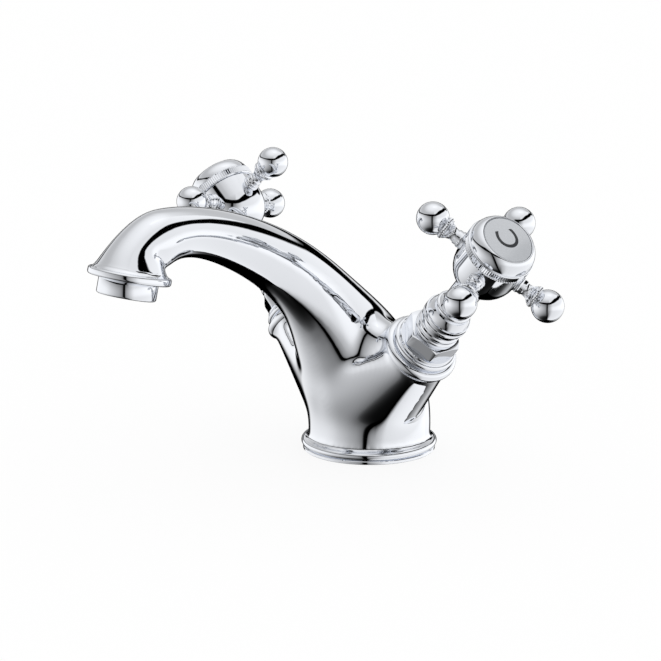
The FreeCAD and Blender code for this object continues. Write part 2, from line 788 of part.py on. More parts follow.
def make_discs(side):
    """The fixed and the moving ceramic disc, each with two ports a quarter turn apart when shut."""
    for name, bottom, thickness, turn in (
        ("fixed_disc", fixed_disc_bottom, s.fixed_disc_thickness, 0),
        ("moving_disc", moving_disc_bottom, s.moving_disc_thickness, 90),
    ):
        frame = valve_placement(side) * Placement(Vector(), Rotation(Vector(0, 0, 1), turn))
        body = new_body(f"{side}_{name}", frame)
        turned(body, "disc", [
            (0, bottom),
            (s.disc_radius, bottom),
            (s.disc_radius, bottom + thickness),
            (0, bottom + thickness),
        ])
        doc.recompute()
        port = raised(body, "port", draw_port, thickness, bottom, cut=True)
        doc.recompute()
        polar_copies(body, "ports", port, 2)
        doc.recompute()
        if name == "moving_disc":
            slot_bottom = foot_bottom - s.tongue_height
            raised(body, "tongue_slot", lambda sketch: draw_block(
                sketch, s.tongue_width + s.fit_clearance * 2, s.disc_radius * 2 + s.cut_overrun),
                s.tongue_height + s.cut_overrun, slot_bottom, cut=True)


def draw_block(sketch, width, length):
    """A rectangle about the sketch's middle."""
    draw_outline(sketch, [
        (-width / 2, -length / 2),
        (width / 2, -length / 2),
        (width / 2, length / 2),
        (-width / 2, length / 2),
    ])


def o_ring_levels():
    """How far along the valve's axis the spindle's two O-rings lie."""
    first = chamber_top + s.o_ring_first_length
    return (first, first + s.o_ring_pitch)


def make_spindle(side):
    """The spindle: foot with a driving tongue, seal grooves, clip groove, flats and a tapped end."""
    body = new_body(f"{side}_spindle", valve_placement(side))
    ring_radius = s.o_ring_section_radius
    groove_radius = s.spindle_radius - ring_radius * 2 - s.seal_clearance
    groove_half = ring_radius + s.o_ring_side_clearance
    clip_bottom = headwork_top + s.handle_gap / 2
    clip_top = clip_bottom + s.clip_thickness
    clip_radius = s.spindle_radius - s.clip_groove_depth
    corners = [
        (0, foot_bottom),
        (s.spindle_foot_radius, foot_bottom),
        (s.spindle_foot_radius, washer_bottom),
        (s.spindle_radius, washer_bottom),
    ]
    for level in o_ring_levels():
        corners += [
            (s.spindle_radius, level - groove_half),
            (groove_radius, level - groove_half),
            (groove_radius, level + groove_half),
            (s.spindle_radius, level + groove_half),
        ]
    corners += [
        (s.spindle_radius, clip_bottom - s.fit_clearance),
        (clip_radius, clip_bottom - s.fit_clearance),
        (clip_radius, clip_top + s.fit_clearance),
        (s.spindle_radius, clip_top + s.fit_clearance),
        (s.spindle_radius, spindle_top),
        (s.screw_radius + s.fit_clearance, spindle_top),
        (s.screw_radius + s.fit_clearance, spindle_top - s.screw_length - s.cut_overrun),
        (0, spindle_top - s.screw_length - s.cut_overrun),
    ]
    turned(body, "stem", corners)
    raised(body, "tongue", lambda sketch: draw_block(sketch, s.tongue_length, s.tongue_width),
           s.tongue_height, foot_bottom - s.tongue_height)
    doc.recompute()
    flat = s.spindle_radius - s.spindle_flat_depth
    cut = raised(body, "flat", lambda sketch: draw_outline(sketch, [
        (flat, -s.spindle_radius),
        (s.spindle_radius + s.cut_overrun, -s.spindle_radius),
        (s.spindle_radius + s.cut_overrun, s.spindle_radius),
        (flat, s.spindle_radius),
    ]), s.spindle_flat_length + s.cut_overrun, spindle_top - s.spindle_flat_length, cut=True)
    doc.recompute()
    polar_copies(body, "flats", cut, 2)

    body = new_body(f"{side}_spindle_clip", valve_placement(side))
    turned(body, "clip", [
        (clip_radius + s.fit_clearance, clip_bottom),
        (clip_radius + s.clip_width, clip_bottom),
        (clip_radius + s.clip_width, clip_top),
        (clip_radius + s.fit_clearance, clip_top),
    ], angle=FULL_TURN - s.clip_gap_angle)

    body = new_body(f"{side}_thrust_washer", valve_placement(side))
    turned(body, "washer", [
        (s.spindle_radius + s.fit_clearance, washer_bottom),
        (s.spindle_foot_radius, washer_bottom),
        (s.spindle_foot_radius, chamber_top),
        (s.spindle_radius + s.fit_clearance, chamber_top),
    ])

    middle = groove_radius + s.seal_clearance + ring_radius
    for number, level in enumerate(o_ring_levels(), start=1):
        ring = doc.addObject("Part::Torus", f"{side}_spindle_o_ring_{number}")
        ring.Label = f"{side}_spindle_o_ring_{number}"
        ring.setExpression("Radius1", middle.text)
        ring.setExpression("Radius2", ring_radius.text)
        ring.Placement = valve_placement(side) * Placement(Vector(0, 0, level.number), Rotation())


def make_hub(side):
    """The handle's hub: skirt, dome, neck and bowl in one turned piece with four arm seats."""
    start = QUARTER_TURN - s.cold_handle_angle if SIDES[side] > 0 else s.hot_handle_angle - QUARTER_TURN
    turn = Placement(Vector(), Rotation(Vector(0, 0, 1), start.number))
    body = new_body(f"{side}_handle_hub", valve_placement(side) * turn)
    skirt_top = handle_bottom + s.skirt_height
    shoulder_top = skirt_top + s.shoulder_height
    groove_radius = s.shoulder_top_radius - s.stem_groove_depth
    groove_top = shoulder_top + s.stem_groove_height
    bead_inner_radius = s.stem_bead_radius - s.stem_bead_curve
    bead_top = groove_top + s.stem_bead_curve * 2
    neck_bottom = bead_top + s.stem_taper_height
    bowl_bottom = neck_bottom + s.neck_height
    bowl_top = bowl_bottom + root(s.bowl_radius * s.bowl_radius - s.neck_radius * s.neck_radius)
    clip_cavity_top = handle_bottom + s.clip_cavity_depth
    web_top = spindle_top + s.hub_web_thickness
    cavity_bottom = hub_top - s.hub_cavity_depth
    turned(body, "turning", [
        (s.clip_cavity_radius, handle_bottom),
        (s.skirt_radius, handle_bottom),
        (s.skirt_radius, skirt_top),
        (s.shoulder_radius, skirt_top),
        (s.shoulder_top_radius, shoulder_top, s.shoulder_curve_radius, 1),
        (groove_radius, shoulder_top),
        (groove_radius, groove_top),
        (bead_inner_radius, groove_top),
        (s.stem_bead_radius, groove_top + s.stem_bead_curve, s.stem_bead_curve, 1),
        (bead_inner_radius, bead_top, s.stem_bead_curve, 1),
        (s.neck_radius, neck_bottom),
        (s.neck_radius, bowl_bottom),
        (s.bowl_radius, bowl_top, s.bowl_radius, 1),
        (s.bowl_radius, hub_top),
        (s.hub_cavity_radius, hub_top),
        (s.hub_cavity_radius, cavity_bottom),
        (s.screw_head_radius + s.screw_head_clearance, cavity_bottom),
        (s.screw_head_radius + s.screw_head_clearance, web_top),
        (s.screw_radius + s.screw_clearance, web_top),
        (s.screw_radius + s.screw_clearance, spindle_top + s.fit_clearance),
        (spindle_bore_radius, spindle_top + s.fit_clearance),
        (spindle_bore_radius, clip_cavity_top),
        (s.clip_cavity_radius, clip_cavity_top),
    ])
    doc.recompute()
    crosshead = handle_bottom + s.crosshead_height
    outward = Placement(Vector(0, 0, crosshead.number), Rotation(Vector(0, 1, 0), 90))
    seat = turned(body, "arm_seat", [
        (0, s.arm_seat_radius),
        (s.arm_seat_width, s.arm_seat_radius),
        (s.arm_seat_width, s.bowl_radius + s.cut_overrun),
        (0, s.bowl_radius + s.cut_overrun),
    ], outward, cut=True)
    doc.recompute()
    polar_copies(body, "arm_seats", seat, ARM_COUNT)
    doc.recompute()
    socket = turned(body, "arm_socket", [
        (0, s.hub_cavity_radius - s.cut_overrun),
        (s.arm_tenon_radius + s.fit_clearance, s.hub_cavity_radius - s.cut_overrun),
        (s.arm_tenon_radius + s.fit_clearance, s.arm_seat_radius + s.cut_overrun),
        (0, s.arm_seat_radius + s.cut_overrun),
    ], outward, cut=True)
    doc.recompute()
    polar_copies(body, "arm_sockets", socket, ARM_COUNT)

    for number in range(ARM_COUNT):
        quarter = Placement(Vector(), Rotation(Vector(0, 0, 1), FULL_TURN.number / ARM_COUNT * number))
        make_arm(f"{side}_arm_{number + 1}", valve_placement(side) * turn * quarter * outward)


def make_arm(name, frame):
    """A crosshead arm turned about its own axis: tenon, collar, waist, flare, ring and ball."""
    body = new_body(name, frame)
    collar_end = s.arm_seat_radius + s.arm_collar_length
    waist_end = collar_end + s.arm_waist_length
    flare_end = waist_end + s.arm_flare_length
    ring_end = flare_end + s.arm_ring_length
    ball_sink = s.ball_circle_radius - ring_end
    ball_foot_radius = root(s.ball_radius * s.ball_radius - ball_sink * ball_sink)
    turned(body, "turning", [
        (0, s.arm_seat_radius - s.arm_tenon_length),
        (s.arm_tenon_radius, s.arm_seat_radius - s.arm_tenon_length),
        (s.arm_tenon_radius, s.arm_seat_radius),
        (s.arm_collar_radius, s.arm_seat_radius),
        (s.arm_collar_radius - s.arm_collar_taper, collar_end),
        (s.arm_waist_radius, collar_end + s.arm_collar_taper),
        (s.arm_waist_radius, waist_end),
        (s.arm_flare_radius, flare_end, s.arm_flare_curve_radius, -1),
        (s.arm_ring_edge_radius, flare_end),
        (s.arm_ring_edge_radius, ring_end, s.arm_ring_curve_radius, 1),
        (ball_foot_radius, ring_end),
        (0, s.ball_circle_radius + s.ball_radius, s.ball_radius, 1),
    ])


def make_screw(side):
    """The screw that holds the handle on the spindle."""
    body = new_body(f"{side}_handle_screw", valve_placement(side))
    web_top = spindle_top + s.hub_web_thickness
    head_top = web_top + s.screw_head_height
    turned(body, "shank_and_head", [
        (0, web_top - s.screw_length),
        (s.screw_radius, web_top - s.screw_length),
        (s.screw_radius, web_top),
        (s.screw_head_radius, web_top),
        (s.screw_head_radius, head_top),
        (0, head_top),
    ])
    doc.recompute()
    socket = attached(body.newObject("PartDesign::SubtractivePrism", "socket"), body, "XY_Plane")
    socket.Polygon = HEX_SIDE_COUNT
    socket.setExpression("AttachmentOffset.Base.z", (head_top - s.screw_socket_depth).text)
    socket.setExpression("Circumradius", (s.screw_socket_flats / 2 / cosine(HALF_SIXTH)).text)
    socket.setExpression("Height", (s.screw_socket_depth + s.cut_overrun).text)


def make_cap(side):
    """The domed cap with its band, and the index disc set in its top."""
    body = new_body(f"{side}_cap", valve_placement(side))
    band_top = hub_top + s.cap_band_height
    spigot_radius = s.hub_cavity_radius - s.fit_clearance
    recess_bottom = cap_top - s.index_thickness
    recess_radius = s.index_radius + s.fit_clearance
    turned(body, "turning", [
        (s.cap_inner_radius, hub_top - s.cap_spigot_length),
        (spigot_radius, hub_top - s.cap_spigot_length),
        (spigot_radius, hub_top),
        (s.cap_band_radius, hub_top),
        (s.cap_band_radius, band_top),
        (s.cap_shoulder_radius, band_top),
        (s.cap_shoulder_radius, cap_dome_bottom),
        (s.cap_rim_radius, cap_top, s.cap_dome_curve, 1),
        (recess_radius, cap_top),
        (recess_radius, recess_bottom),
        (0, recess_bottom),
        (0, recess_bottom - s.index_thickness),
        (s.cap_inner_radius, recess_bottom - s.index_thickness),
    ])

    body = new_body(f"{side}_index_disc", valve_placement(side))
    rise = s.index_crown
    crown_radius = (s.index_radius * s.index_radius + rise * rise) / (rise * 2)
    turned(body, "disc", [
        (0, recess_bottom),
        (s.index_radius, recess_bottom),
        (s.index_radius, cap_top),
        (0, cap_top + rise, crown_radius, 1),
    ])


make_casting()
make_base_gasket()
make_aerator()
for valve_side in SIDES:
    make_headwork(valve_side)
    make_seat_gasket(valve_side)
    make_discs(valve_side)
    make_spindle(valve_side)
    make_hub(valve_side)
    make_screw(valve_side)
    make_cap(valve_side)
doc.recompute()

for item in doc.Objects:
    if {"Invalid", "Error"} & set(item.State):
        raise RuntimeError(f"{item.Label} did not build: {item.State}")
nodes = [item for item in doc.Objects if item.TypeId in ("PartDesign::Body", "Part::Torus")]
os.makedirs("parts", exist_ok=True)
for item in nodes:
    if item.Shape.isNull() or not item.Shape.isValid():
        raise RuntimeError(f"{item.Label} has no valid shape")
    item.Shape.exportStep(f"parts/{item.Label}.step")
    print(f"{item.Label}: {len(item.Shape.Solids)} solid, {item.Shape.Volume:.1f} cubic mm")
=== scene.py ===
"""Polished chrome basin mixer tap in a white light tent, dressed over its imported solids."""
import json
import math

import bpy
from bpy.props import FloatProperty, FloatVectorProperty, IntProperty, PointerProperty, StringProperty
from mathutils import Matrix, Vector
from mathutils.bvhtree import BVHTree


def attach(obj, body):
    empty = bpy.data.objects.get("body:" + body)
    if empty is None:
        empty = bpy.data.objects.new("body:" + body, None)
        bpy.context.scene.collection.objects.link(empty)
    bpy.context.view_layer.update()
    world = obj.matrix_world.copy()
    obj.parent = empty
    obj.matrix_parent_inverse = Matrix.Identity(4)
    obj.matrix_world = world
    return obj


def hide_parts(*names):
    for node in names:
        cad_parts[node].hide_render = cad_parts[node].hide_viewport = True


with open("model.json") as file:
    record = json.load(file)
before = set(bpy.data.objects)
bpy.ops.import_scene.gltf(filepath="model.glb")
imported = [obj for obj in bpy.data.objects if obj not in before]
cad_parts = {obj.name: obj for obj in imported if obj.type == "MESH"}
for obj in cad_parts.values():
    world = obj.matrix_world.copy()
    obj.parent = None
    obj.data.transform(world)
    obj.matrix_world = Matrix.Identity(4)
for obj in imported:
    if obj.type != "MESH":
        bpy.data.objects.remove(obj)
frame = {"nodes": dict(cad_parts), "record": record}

bl_info = {
    "name": "Basin mixer tap",
    "version": (1, 0, 0),
    "blender": (4, 5, 0),
    "location": "3D View > Sidebar > Tap",
    "description": "Models the chrome pieces of a basin mixer tap and the light tent it stands in",
    "category": "Add Mesh",
}

SIDES = ("cold", "hot")
ARM_COUNT = 4
MERGE_DISTANCE = 0.000002
SENSOR_WIDTH = 36.0


class StudioSettings(bpy.types.PropertyGroup):
    """The camera, the floor and the light"""

    camera_azimuth: FloatProperty(
        name="Camera azimuth", description="How far the camera stands round to the cold side",
        default=math.radians(49.845), unit="ROTATION")
    camera_elevation: FloatProperty(
        name="Camera elevation", description="How far the camera looks down",
        default=math.radians(13.654), unit="ROTATION")
    camera_distance: FloatProperty(
        name="Camera distance", description="From the base's centre back to the camera",
        default=1.02979, unit="LENGTH")
    camera_right: FloatProperty(
        name="Camera right", description="How far the camera is moved to its own right",
        default=-0.015654, unit="LENGTH")
    camera_up: FloatProperty(
        name="Camera up", description="How far the camera is moved up in its own frame",
        default=0.047107, unit="LENGTH")
    focal_length: FloatProperty(
        name="Focal length", description="Focal length on a sensor 36 mm wide",
        default=137.72, unit="CAMERA")
    floor_size: FloatProperty(
        name="Floor size", description="Length of the floor's sides", default=14.0, unit="LENGTH")
    floor_colour: FloatVectorProperty(
        name="Floor colour", description="Colour of the pale floor",
        default=(0.95, 0.95, 0.95), subtype="COLOR")
    floor_glow: FloatProperty(
        name="Floor glow", description="Share of the floor that shines white, so its shadows are soft",
        default=0.86, subtype="FACTOR")
    room_strength: FloatProperty(
        name="Room light", description="Strength of the even light that falls on everything", default=1.05)
    tent_strength: FloatProperty(
        name="Tent light", description="Strength of the light tent in reflections", default=1.08)


class BodySettings(bpy.types.PropertyGroup):
    """The casting: where its mouth, base and arms are, and how its skin is made"""

    spout_reach: FloatProperty(
        name="Spout reach", description="From the body's centre to the outlet's",
        default=0.1196, unit="LENGTH")
    arch_height: FloatProperty(
        name="Arch height", description="Height of the spout's centre line at its crest",
        default=0.1008, unit="LENGTH")
    mouth_drop: FloatProperty(
        name="Mouth drop", description="From the crest down to the outlet", default=0.0208, unit="LENGTH")
    mouth_lean: FloatProperty(
        name="Mouth lean", description="How far the mouth leans forward of straight down",
        default=math.radians(13.6), unit="ROTATION")
    flange_radius: FloatProperty(
        name="Base radius", description="Radius of the bead round the base", default=0.0275, unit="LENGTH")
    arm_radius: FloatProperty(
        name="Arm radius", description="Radius of an arm below its bead", default=0.0132, unit="LENGTH")
    arm_length: FloatProperty(
        name="Arm length", description="From where the valve axes meet to an arm's end",
        default=0.0544, unit="LENGTH")
    grain: FloatProperty(
        name="Mesh grain", description="Size of the faces of the skin", default=0.00072, unit="LENGTH")
    blend_rounds: IntProperty(
        name="Blend rounds", description="How often the joins of the arms are smoothed", default=150)


class ValveSettings(bpy.types.PropertyGroup):
    """The headworks and the crosshead handles"""

    axis_height: FloatProperty(
        name="Axis height", description="Height at which both valve axes meet", default=0.012, unit="LENGTH")
    axis_advance: FloatProperty(
        name="Axis advance", description="How far forward both valve axes meet",
        default=0.0025, unit="LENGTH")
    lean: FloatProperty(
        name="Lean", description="How far each valve leans out", default=math.radians(45), unit="ROTATION")
    sweep: FloatProperty(
        name="Sweep", description="How far each valve is swept forward",
        default=math.radians(4.4), unit="ROTATION")
    cold_turn: FloatProperty(
        name="Cold crosshead", description="Turn of the cold crosshead's first arm about its valve",
        default=math.radians(33.5), unit="ROTATION")
    hot_turn: FloatProperty(
        name="Hot crosshead", description="Turn of the hot crosshead's first arm about its valve",
        default=math.radians(-76.5), unit="ROTATION")
    hexagon_flats: FloatProperty(
        name="Hexagon", description="Across the flats of the headwork's hexagon",
        default=0.020, unit="LENGTH")
    hexagon_turn: FloatProperty(
        name="Hexagon turn", description="Turn of each hexagon about its valve",
        default=math.radians(33), unit="ROTATION")
    ball_radius: FloatProperty(
        name="Ball radius", description="Radius of the balls on the arms", default=0.0063, unit="LENGTH")
    ball_circle: FloatProperty(
        name="Ball circle", description="From the valve's axis to a ball's centre",
        default=0.027, unit="LENGTH")
    cap_radius: FloatProperty(
        name="Cap radius", description="Radius of the cap's knurled band", default=0.0137, unit="LENGTH")
    cap_ridges: IntProperty(
        name="Cap ridges", description="Ridges round the cap's knurled band", default=92)
    arm_ridges: IntProperty(
        name="Arm ridges", description="Ridges round an arm's knurled flare", default=30)
    cold_letter: StringProperty(
        name="Cold letter", description="Letter on the cold index disc", default="C")
    hot_letter: StringProperty(
        name="Hot letter", description="Letter on the hot index disc", default="H")
    letter_height: FloatProperty(
        name="Letter height", description="Size of the letters", default=0.0130, unit="LENGTH")


class FinishSettings(bpy.types.PropertyGroup):
    """Colours of the finishes that show"""

    chrome_colour: FloatVectorProperty(
        name="Chrome", description="Colour of the chrome plate", default=(0.84, 0.86, 0.90), subtype="COLOR")
    enamel_colour: FloatVectorProperty(
        name="Enamel", description="Colour of the index discs", default=(0.54, 0.56, 0.59), subtype="COLOR")
    letter_colour: FloatVectorProperty(
        name="Letter", description="Colour of the letters", default=(0.012, 0.014, 0.018), subtype="COLOR")


def deselect_all():
    """Clear the selection, which the loaded frame leaves full."""
    if bpy.context.object and bpy.context.object.mode == "EDIT":
        bpy.ops.object.mode_set(mode="OBJECT")
    bpy.ops.object.select_all(action="DESELECT")


def make_active(piece):
    """Select one object alone."""
    deselect_all()
    piece.select_set(True)
    bpy.context.view_layer.objects.active = piece


def apply_place(piece):
    """Put a piece's place into its mesh."""
    make_active(piece)
    bpy.ops.object.transform_apply(location=True, rotation=True, scale=True)


def edit(piece):
    """Open one piece in edit mode, to work on its vertices."""
    make_active(piece)
    bpy.context.tool_settings.mesh_select_mode = (True, False, False)
    bpy.ops.object.mode_set(mode="EDIT")


def pick(piece, test):
    """Open a piece in edit mode with those vertices selected whose place passes a test."""
    for vertex in piece.data.vertices:
        vertex.select = test(vertex.co)
    for edge in piece.data.edges:
        edge.select = False
    for face in piece.data.polygons:
        face.select = False
    edit(piece)


def merge_doubles():
    """Merge the vertices that share a place, in edit mode."""
    bpy.ops.mesh.select_all(action="SELECT")
    bpy.ops.mesh.remove_doubles(threshold=MERGE_DISTANCE)


def joined(name, pieces):
    """Join pieces into one object."""
    make_active(pieces[0])
    for piece in pieces[1:]:
        piece.select_set(True)
    bpy.ops.object.join()
    pieces[0].name = name
    return pieces[0]


def discard(*pieces):
    """Remove pieces that were only a step on the way."""
    for piece in pieces:
        bpy.data.objects.remove(piece, do_unlink=True)


def use_modifier(piece, kind, **settings):
    """Add a modifier and apply it."""
    make_active(piece)
    modifier = piece.modifiers.new(kind.lower(), kind)
    for name, value in settings.items():
        setattr(modifier, name, value)
    bpy.ops.object.modifier_apply(modifier=modifier.name)


def shape_with(piece, tool, operation):
    """Shape a piece with a tool by a boolean operation, and discard the tool."""
    use_modifier(piece, "BOOLEAN", object=tool, operation=operation, solver="EXACT")
    discard(tool)


def placed_copy(name, piece, matrix):
    """A copy of a piece with its own mesh, at a place."""
    copy = piece.copy()
    copy.data = piece.data.copy()
    copy.name = name
    copy.parent = None
    bpy.context.collection.objects.link(copy)
    copy.matrix_world = matrix
    apply_place(copy)
    return copy


def smooth(piece, degrees=30):
    """Shade a piece smooth, with its sharper edges kept crisp."""
    make_active(piece)
    bpy.ops.object.shade_smooth_by_angle(angle=math.radians(degrees))


def dress(piece, material, body, slot, *nodes):
    """Give a piece its material and the body it rides on, and the nodes it stands for."""
    piece.data.materials.clear()
    piece.data.materials.append(material)
    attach(piece, body)
    if nodes:
        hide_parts(*nodes)


def arc_points(start, end, radius, bulge, step=math.radians(9)):
    """Points after start along the shorter arc to end, bulging right of the way there where bulge is 1."""
    start, end = Vector(start), Vector(end)
    chord = end - start
    half = chord.length / 2
    away = Vector((chord.y, -chord.x)).normalized() * bulge
    centre = (start + end) / 2 - away * math.sqrt(max(radius * radius - half * half, 0.0))
    sweep = 2 * math.asin(min(half / radius, 1.0))
    count = max(2, math.ceil(sweep / step))
    spoke = start - centre
    way = -1.0 if bulge < 0 else 1.0
    points = []
    for index in range(1, count + 1):
        turn = way * sweep * index / count
        points.append((centre.x + spoke.x * math.cos(turn) - spoke.y * math.sin(turn),
                       centre.y + spoke.x * math.sin(turn) + spoke.y * math.cos(turn)))
    return points


# A corner flatter than this is left as it is, and easing takes at most this share of a run.
FLAT_CORNER = math.radians(150)
EASED_SHARE = 0.4


def profile_points(corners, ease):
    """The points of a profile. A corner is (radius, height), or (radius, height, curve, bulge) after an arc.

    Corners between two straight runs are eased by a narrow chamfer.
    """
    points = []
    last = len(corners) - 1
    for index, corner in enumerate(corners):
        place = Vector(corner[:2])
        if len(corner) == 4:
            points += arc_points(corners[index - 1][:2], place, corner[2], corner[3])
            continue
        straight_on = 0 < index < last and len(corners[index + 1]) == 2
        if not straight_on:
            points.append(tuple(place))
            continue
        back = Vector(corners[index - 1][:2]) - place
        on = Vector(corners[index + 1][:2]) - place
        if back.angle(on) > FLAT_CORNER:
            points.append(tuple(place))
            continue
        cut = min(ease, back.length * EASED_SHARE, on.length * EASED_SHARE)
        points.append(tuple(place + back.normalized() * cut))
        points.append(tuple(place + on.normalized() * cut))
    return points


def raised(corners, lift):
    """A profile's corners moved along its axis."""
    return [(radius, height + lift, *arc) for radius, height, *arc in corners]


def turned_piece(name, corners, steps=128, ease=0.00015):
    """Draw a closed profile point by point and spin it about the Z axis."""
    points = profile_points(corners, ease)
    if min(points[0][0], points[-1][0]) > 0:
        points.append(points[0])
    deselect_all()
    bpy.ops.mesh.primitive_plane_add(size=0.001, location=(points[0][0], 0.0, points[0][1]))
    piece = bpy.context.object
    piece.name = name
    apply_place(piece)
    edit(piece)
    bpy.ops.mesh.select_all(action="SELECT")
    bpy.ops.mesh.merge(type="CENTER")
    for before, after in zip(points, points[1:]):
        step = (after[0] - before[0], 0.0, after[1] - before[1])
        bpy.ops.mesh.extrude_region_move(TRANSFORM_OT_translate={"value": step})
    bpy.ops.mesh.select_all(action="SELECT")
    bpy.ops.mesh.spin(steps=steps, angle=2 * math.pi, center=(0, 0, 0), axis=(0, 0, 1))
    merge_doubles()
    bpy.ops.mesh.normals_make_consistent(inside=False)
    bpy.ops.object.mode_set(mode="OBJECT")
    return piece


def knurl(piece, steps, low, high, least_radius, depth):
    """Press every other line of a turned piece's vertices inwards between two heights."""
    def pressed(place):
        column = round(math.atan2(place.y, place.x) / (2 * math.pi) * steps)
        return low < place.z < high and place.xy.length > least_radius and column % 2 == 1

    pick(piece, pressed)
    bpy.ops.transform.resize(value=(1 - depth, 1 - depth, 1), center_override=(0, 0, 0))
    bpy.ops.object.mode_set(mode="OBJECT")


def valve_place(side):
    """Where a valve stands: local Z runs out along its axis, local X down and outwards."""
    valve = bpy.context.scene.tap_valve
    yaw = -valve.sweep if side == "cold" else math.pi + valve.sweep
    place = Matrix.Translation((0.0, -valve.axis_advance, valve.axis_height))
    return place @ Matrix.Rotation(yaw, 4, "Z") @ Matrix.Rotation(valve.lean, 4, "Y")


def handle_place(side):
    """Where a handle stands at rest: a valve's place turned to its first arm."""
    valve = bpy.context.scene.tap_valve
    turn = valve.cold_turn if side == "cold" else valve.hot_turn
    return valve_place(side) @ Matrix.Rotation(turn, 4, "Z")


def mouth_place():
    """Where the mouth is: the outlet's centre, with local Z up the mouth's axis."""
    body = bpy.context.scene.tap_body
    place = Matrix.Translation((0.0, -body.spout_reach, body.arch_height - body.mouth_drop))
    return place @ Matrix.Rotation(-body.mouth_lean, 4, "X")


def add_node(tree, kind, **settings):
    """A shader node with its settings."""
    node = tree.nodes.new(kind)
    for name, value in settings.items():
        setattr(node, name, value)
    return node


def set_inputs(node, values):
    """Set a node's inputs by their names."""
    for name, value in values.items():
        node.inputs[name].default_value = value


def math_node(tree, operation, first, second=None):
    """A math node fed by numbers or sockets, as its output socket."""
    node = add_node(tree, "ShaderNodeMath", operation=operation)
    for index, value in enumerate((first, second)):
        if value is None:
            continue
        if isinstance(value, (int, float)):
            node.inputs[index].default_value = value
        else:
            tree.links.new(value, node.inputs[index])
    return node.outputs[0]


def ramp_between(tree, value, low, high, start=0.0, end=1.0):
    """A smooth step from start to end as a socket's value goes from low to high."""
    node = add_node(tree, "ShaderNodeMapRange", interpolation_type="SMOOTHSTEP")
    set_inputs(node, {"From Min": low, "From Max": high, "To Min": start, "To Max": end})
    tree.links.new(value, node.inputs["Value"])
    return node.outputs["Result"]


def curve_of(tree, value, points):
    """A float curve through points of (place, height), both as shares, as its output socket."""
    node = add_node(tree, "ShaderNodeFloatCurve")
    line = node.mapping.curves[0]
    while len(line.points) < len(points):
        line.points.new(0.5, 0.5)
    for point, place in zip(line.points, points):
        point.location = place
    node.mapping.update()
    tree.links.new(value, node.inputs["Value"])
    return node.outputs["Value"]


def mixed_shaders(tree, share, first, second, output):
    """Mix two shaders by a number or a socket, and join the mix to the tree's output."""
    mix = add_node(tree, "ShaderNodeMixShader")
    if isinstance(share, float):
        mix.inputs["Fac"].default_value = share
    else:
        tree.links.new(share, mix.inputs["Fac"])
    tree.links.new(first.outputs[0], mix.inputs[1])
    tree.links.new(second.outputs[0], mix.inputs[2])
    tree.links.new(mix.outputs[0], tree.nodes[output].inputs["Surface"])


def new_material(name):
    """A node material with its principled shader."""
    material = bpy.data.materials.new(name)
    material.use_nodes = True
    return material, material.node_tree, material.node_tree.nodes["Principled BSDF"]


def wiped_group():
    """A node group of faint wiping marks and dust: how rough each place is, and its height."""
    group = bpy.data.node_groups.get("wiped_surface")
    if group:
        return group
    group = bpy.data.node_groups.new("wiped_surface", "ShaderNodeTree")
    for name, value in (("Scale", 60.0), ("Least", 0.02), ("Most", 0.06)):
        socket = group.interface.new_socket(name, in_out="INPUT", socket_type="NodeSocketFloat")
        socket.default_value = value
    for name in ("Roughness", "Height"):
        group.interface.new_socket(name, in_out="OUTPUT", socket_type="NodeSocketFloat")
    inputs = add_node(group, "NodeGroupInput")
    outputs = add_node(group, "NodeGroupOutput")
    place = add_node(group, "ShaderNodeTexCoord")
    marks = add_node(group, "ShaderNodeTexNoise")
    spread = add_node(group, "ShaderNodeMapRange", interpolation_type="SMOOTHSTEP")
    set_inputs(marks, {"Detail": 5.0})
    set_inputs(spread, {"From Min": 0.4, "From Max": 0.7})
    for source, target in (
            (place.outputs["Object"], marks.inputs["Vector"]),
            (inputs.outputs["Scale"], marks.inputs["Scale"]),
            (marks.outputs["Fac"], spread.inputs["Value"]),
            (inputs.outputs["Least"], spread.inputs["To Min"]),
            (inputs.outputs["Most"], spread.inputs["To Max"]),
            (spread.outputs["Result"], outputs.inputs["Roughness"]),
            (marks.outputs["Fac"], outputs.inputs["Height"]),
    ):
        group.links.new(source, target)
    return group


# How deep the relief of every finish is at full strength.
RELIEF_DEPTH = 0.0002


def finish(name, colour, metallic, least, most, scale=60.0, bump=0.0, shade=0.0):
    """A finish whose roughness varies with the wiping marks, and where asked its relief and shade too."""
    material = bpy.data.materials.get(name)
    if material:
        return material
    material, tree, shader = new_material(name)
    set_inputs(shader, {"Base Color": (*colour, 1.0), "Metallic": metallic})
    marks = add_node(tree, "ShaderNodeGroup", node_tree=wiped_group())
    set_inputs(marks, {"Scale": scale, "Least": least, "Most": most})
    tree.links.new(marks.outputs["Roughness"], shader.inputs["Roughness"])
    if shade:
        darker = (*(part * (1.0 - shade) for part in colour), 1.0)
        tint = add_node(tree, "ShaderNodeMix", data_type="RGBA")
        set_inputs(tint, {"A": (*colour, 1.0), "B": darker})
        tree.links.new(marks.outputs["Height"], tint.inputs["Factor"])
        tree.links.new(tint.outputs["Result"], shader.inputs["Base Color"])
    if bump:
        relief = add_node(tree, "ShaderNodeBump")
        set_inputs(relief, {"Strength": bump, "Distance": RELIEF_DEPTH})
        tree.links.new(marks.outputs["Height"], relief.inputs["Height"])
        tree.links.new(relief.outputs["Normal"], shader.inputs["Normal"])
    return material


def chrome():
    """Polished chrome plate, a little blue, with faint wiping marks."""
    colour = tuple(bpy.context.scene.tap_finish.chrome_colour)
    return finish("polished_chrome", colour, metallic=1.0, least=0.015, most=0.045, shade=0.04)


def enamel():
    """Pale grey enamel under a clear coat."""
    colour = tuple(bpy.context.scene.tap_finish.enamel_colour)
    material = finish("pale_enamel", colour, metallic=0.0, least=0.10, most=0.20, scale=30.0, shade=0.18)
    material.node_tree.nodes["Principled BSDF"].inputs["Coat Weight"].default_value = 0.5
    return material


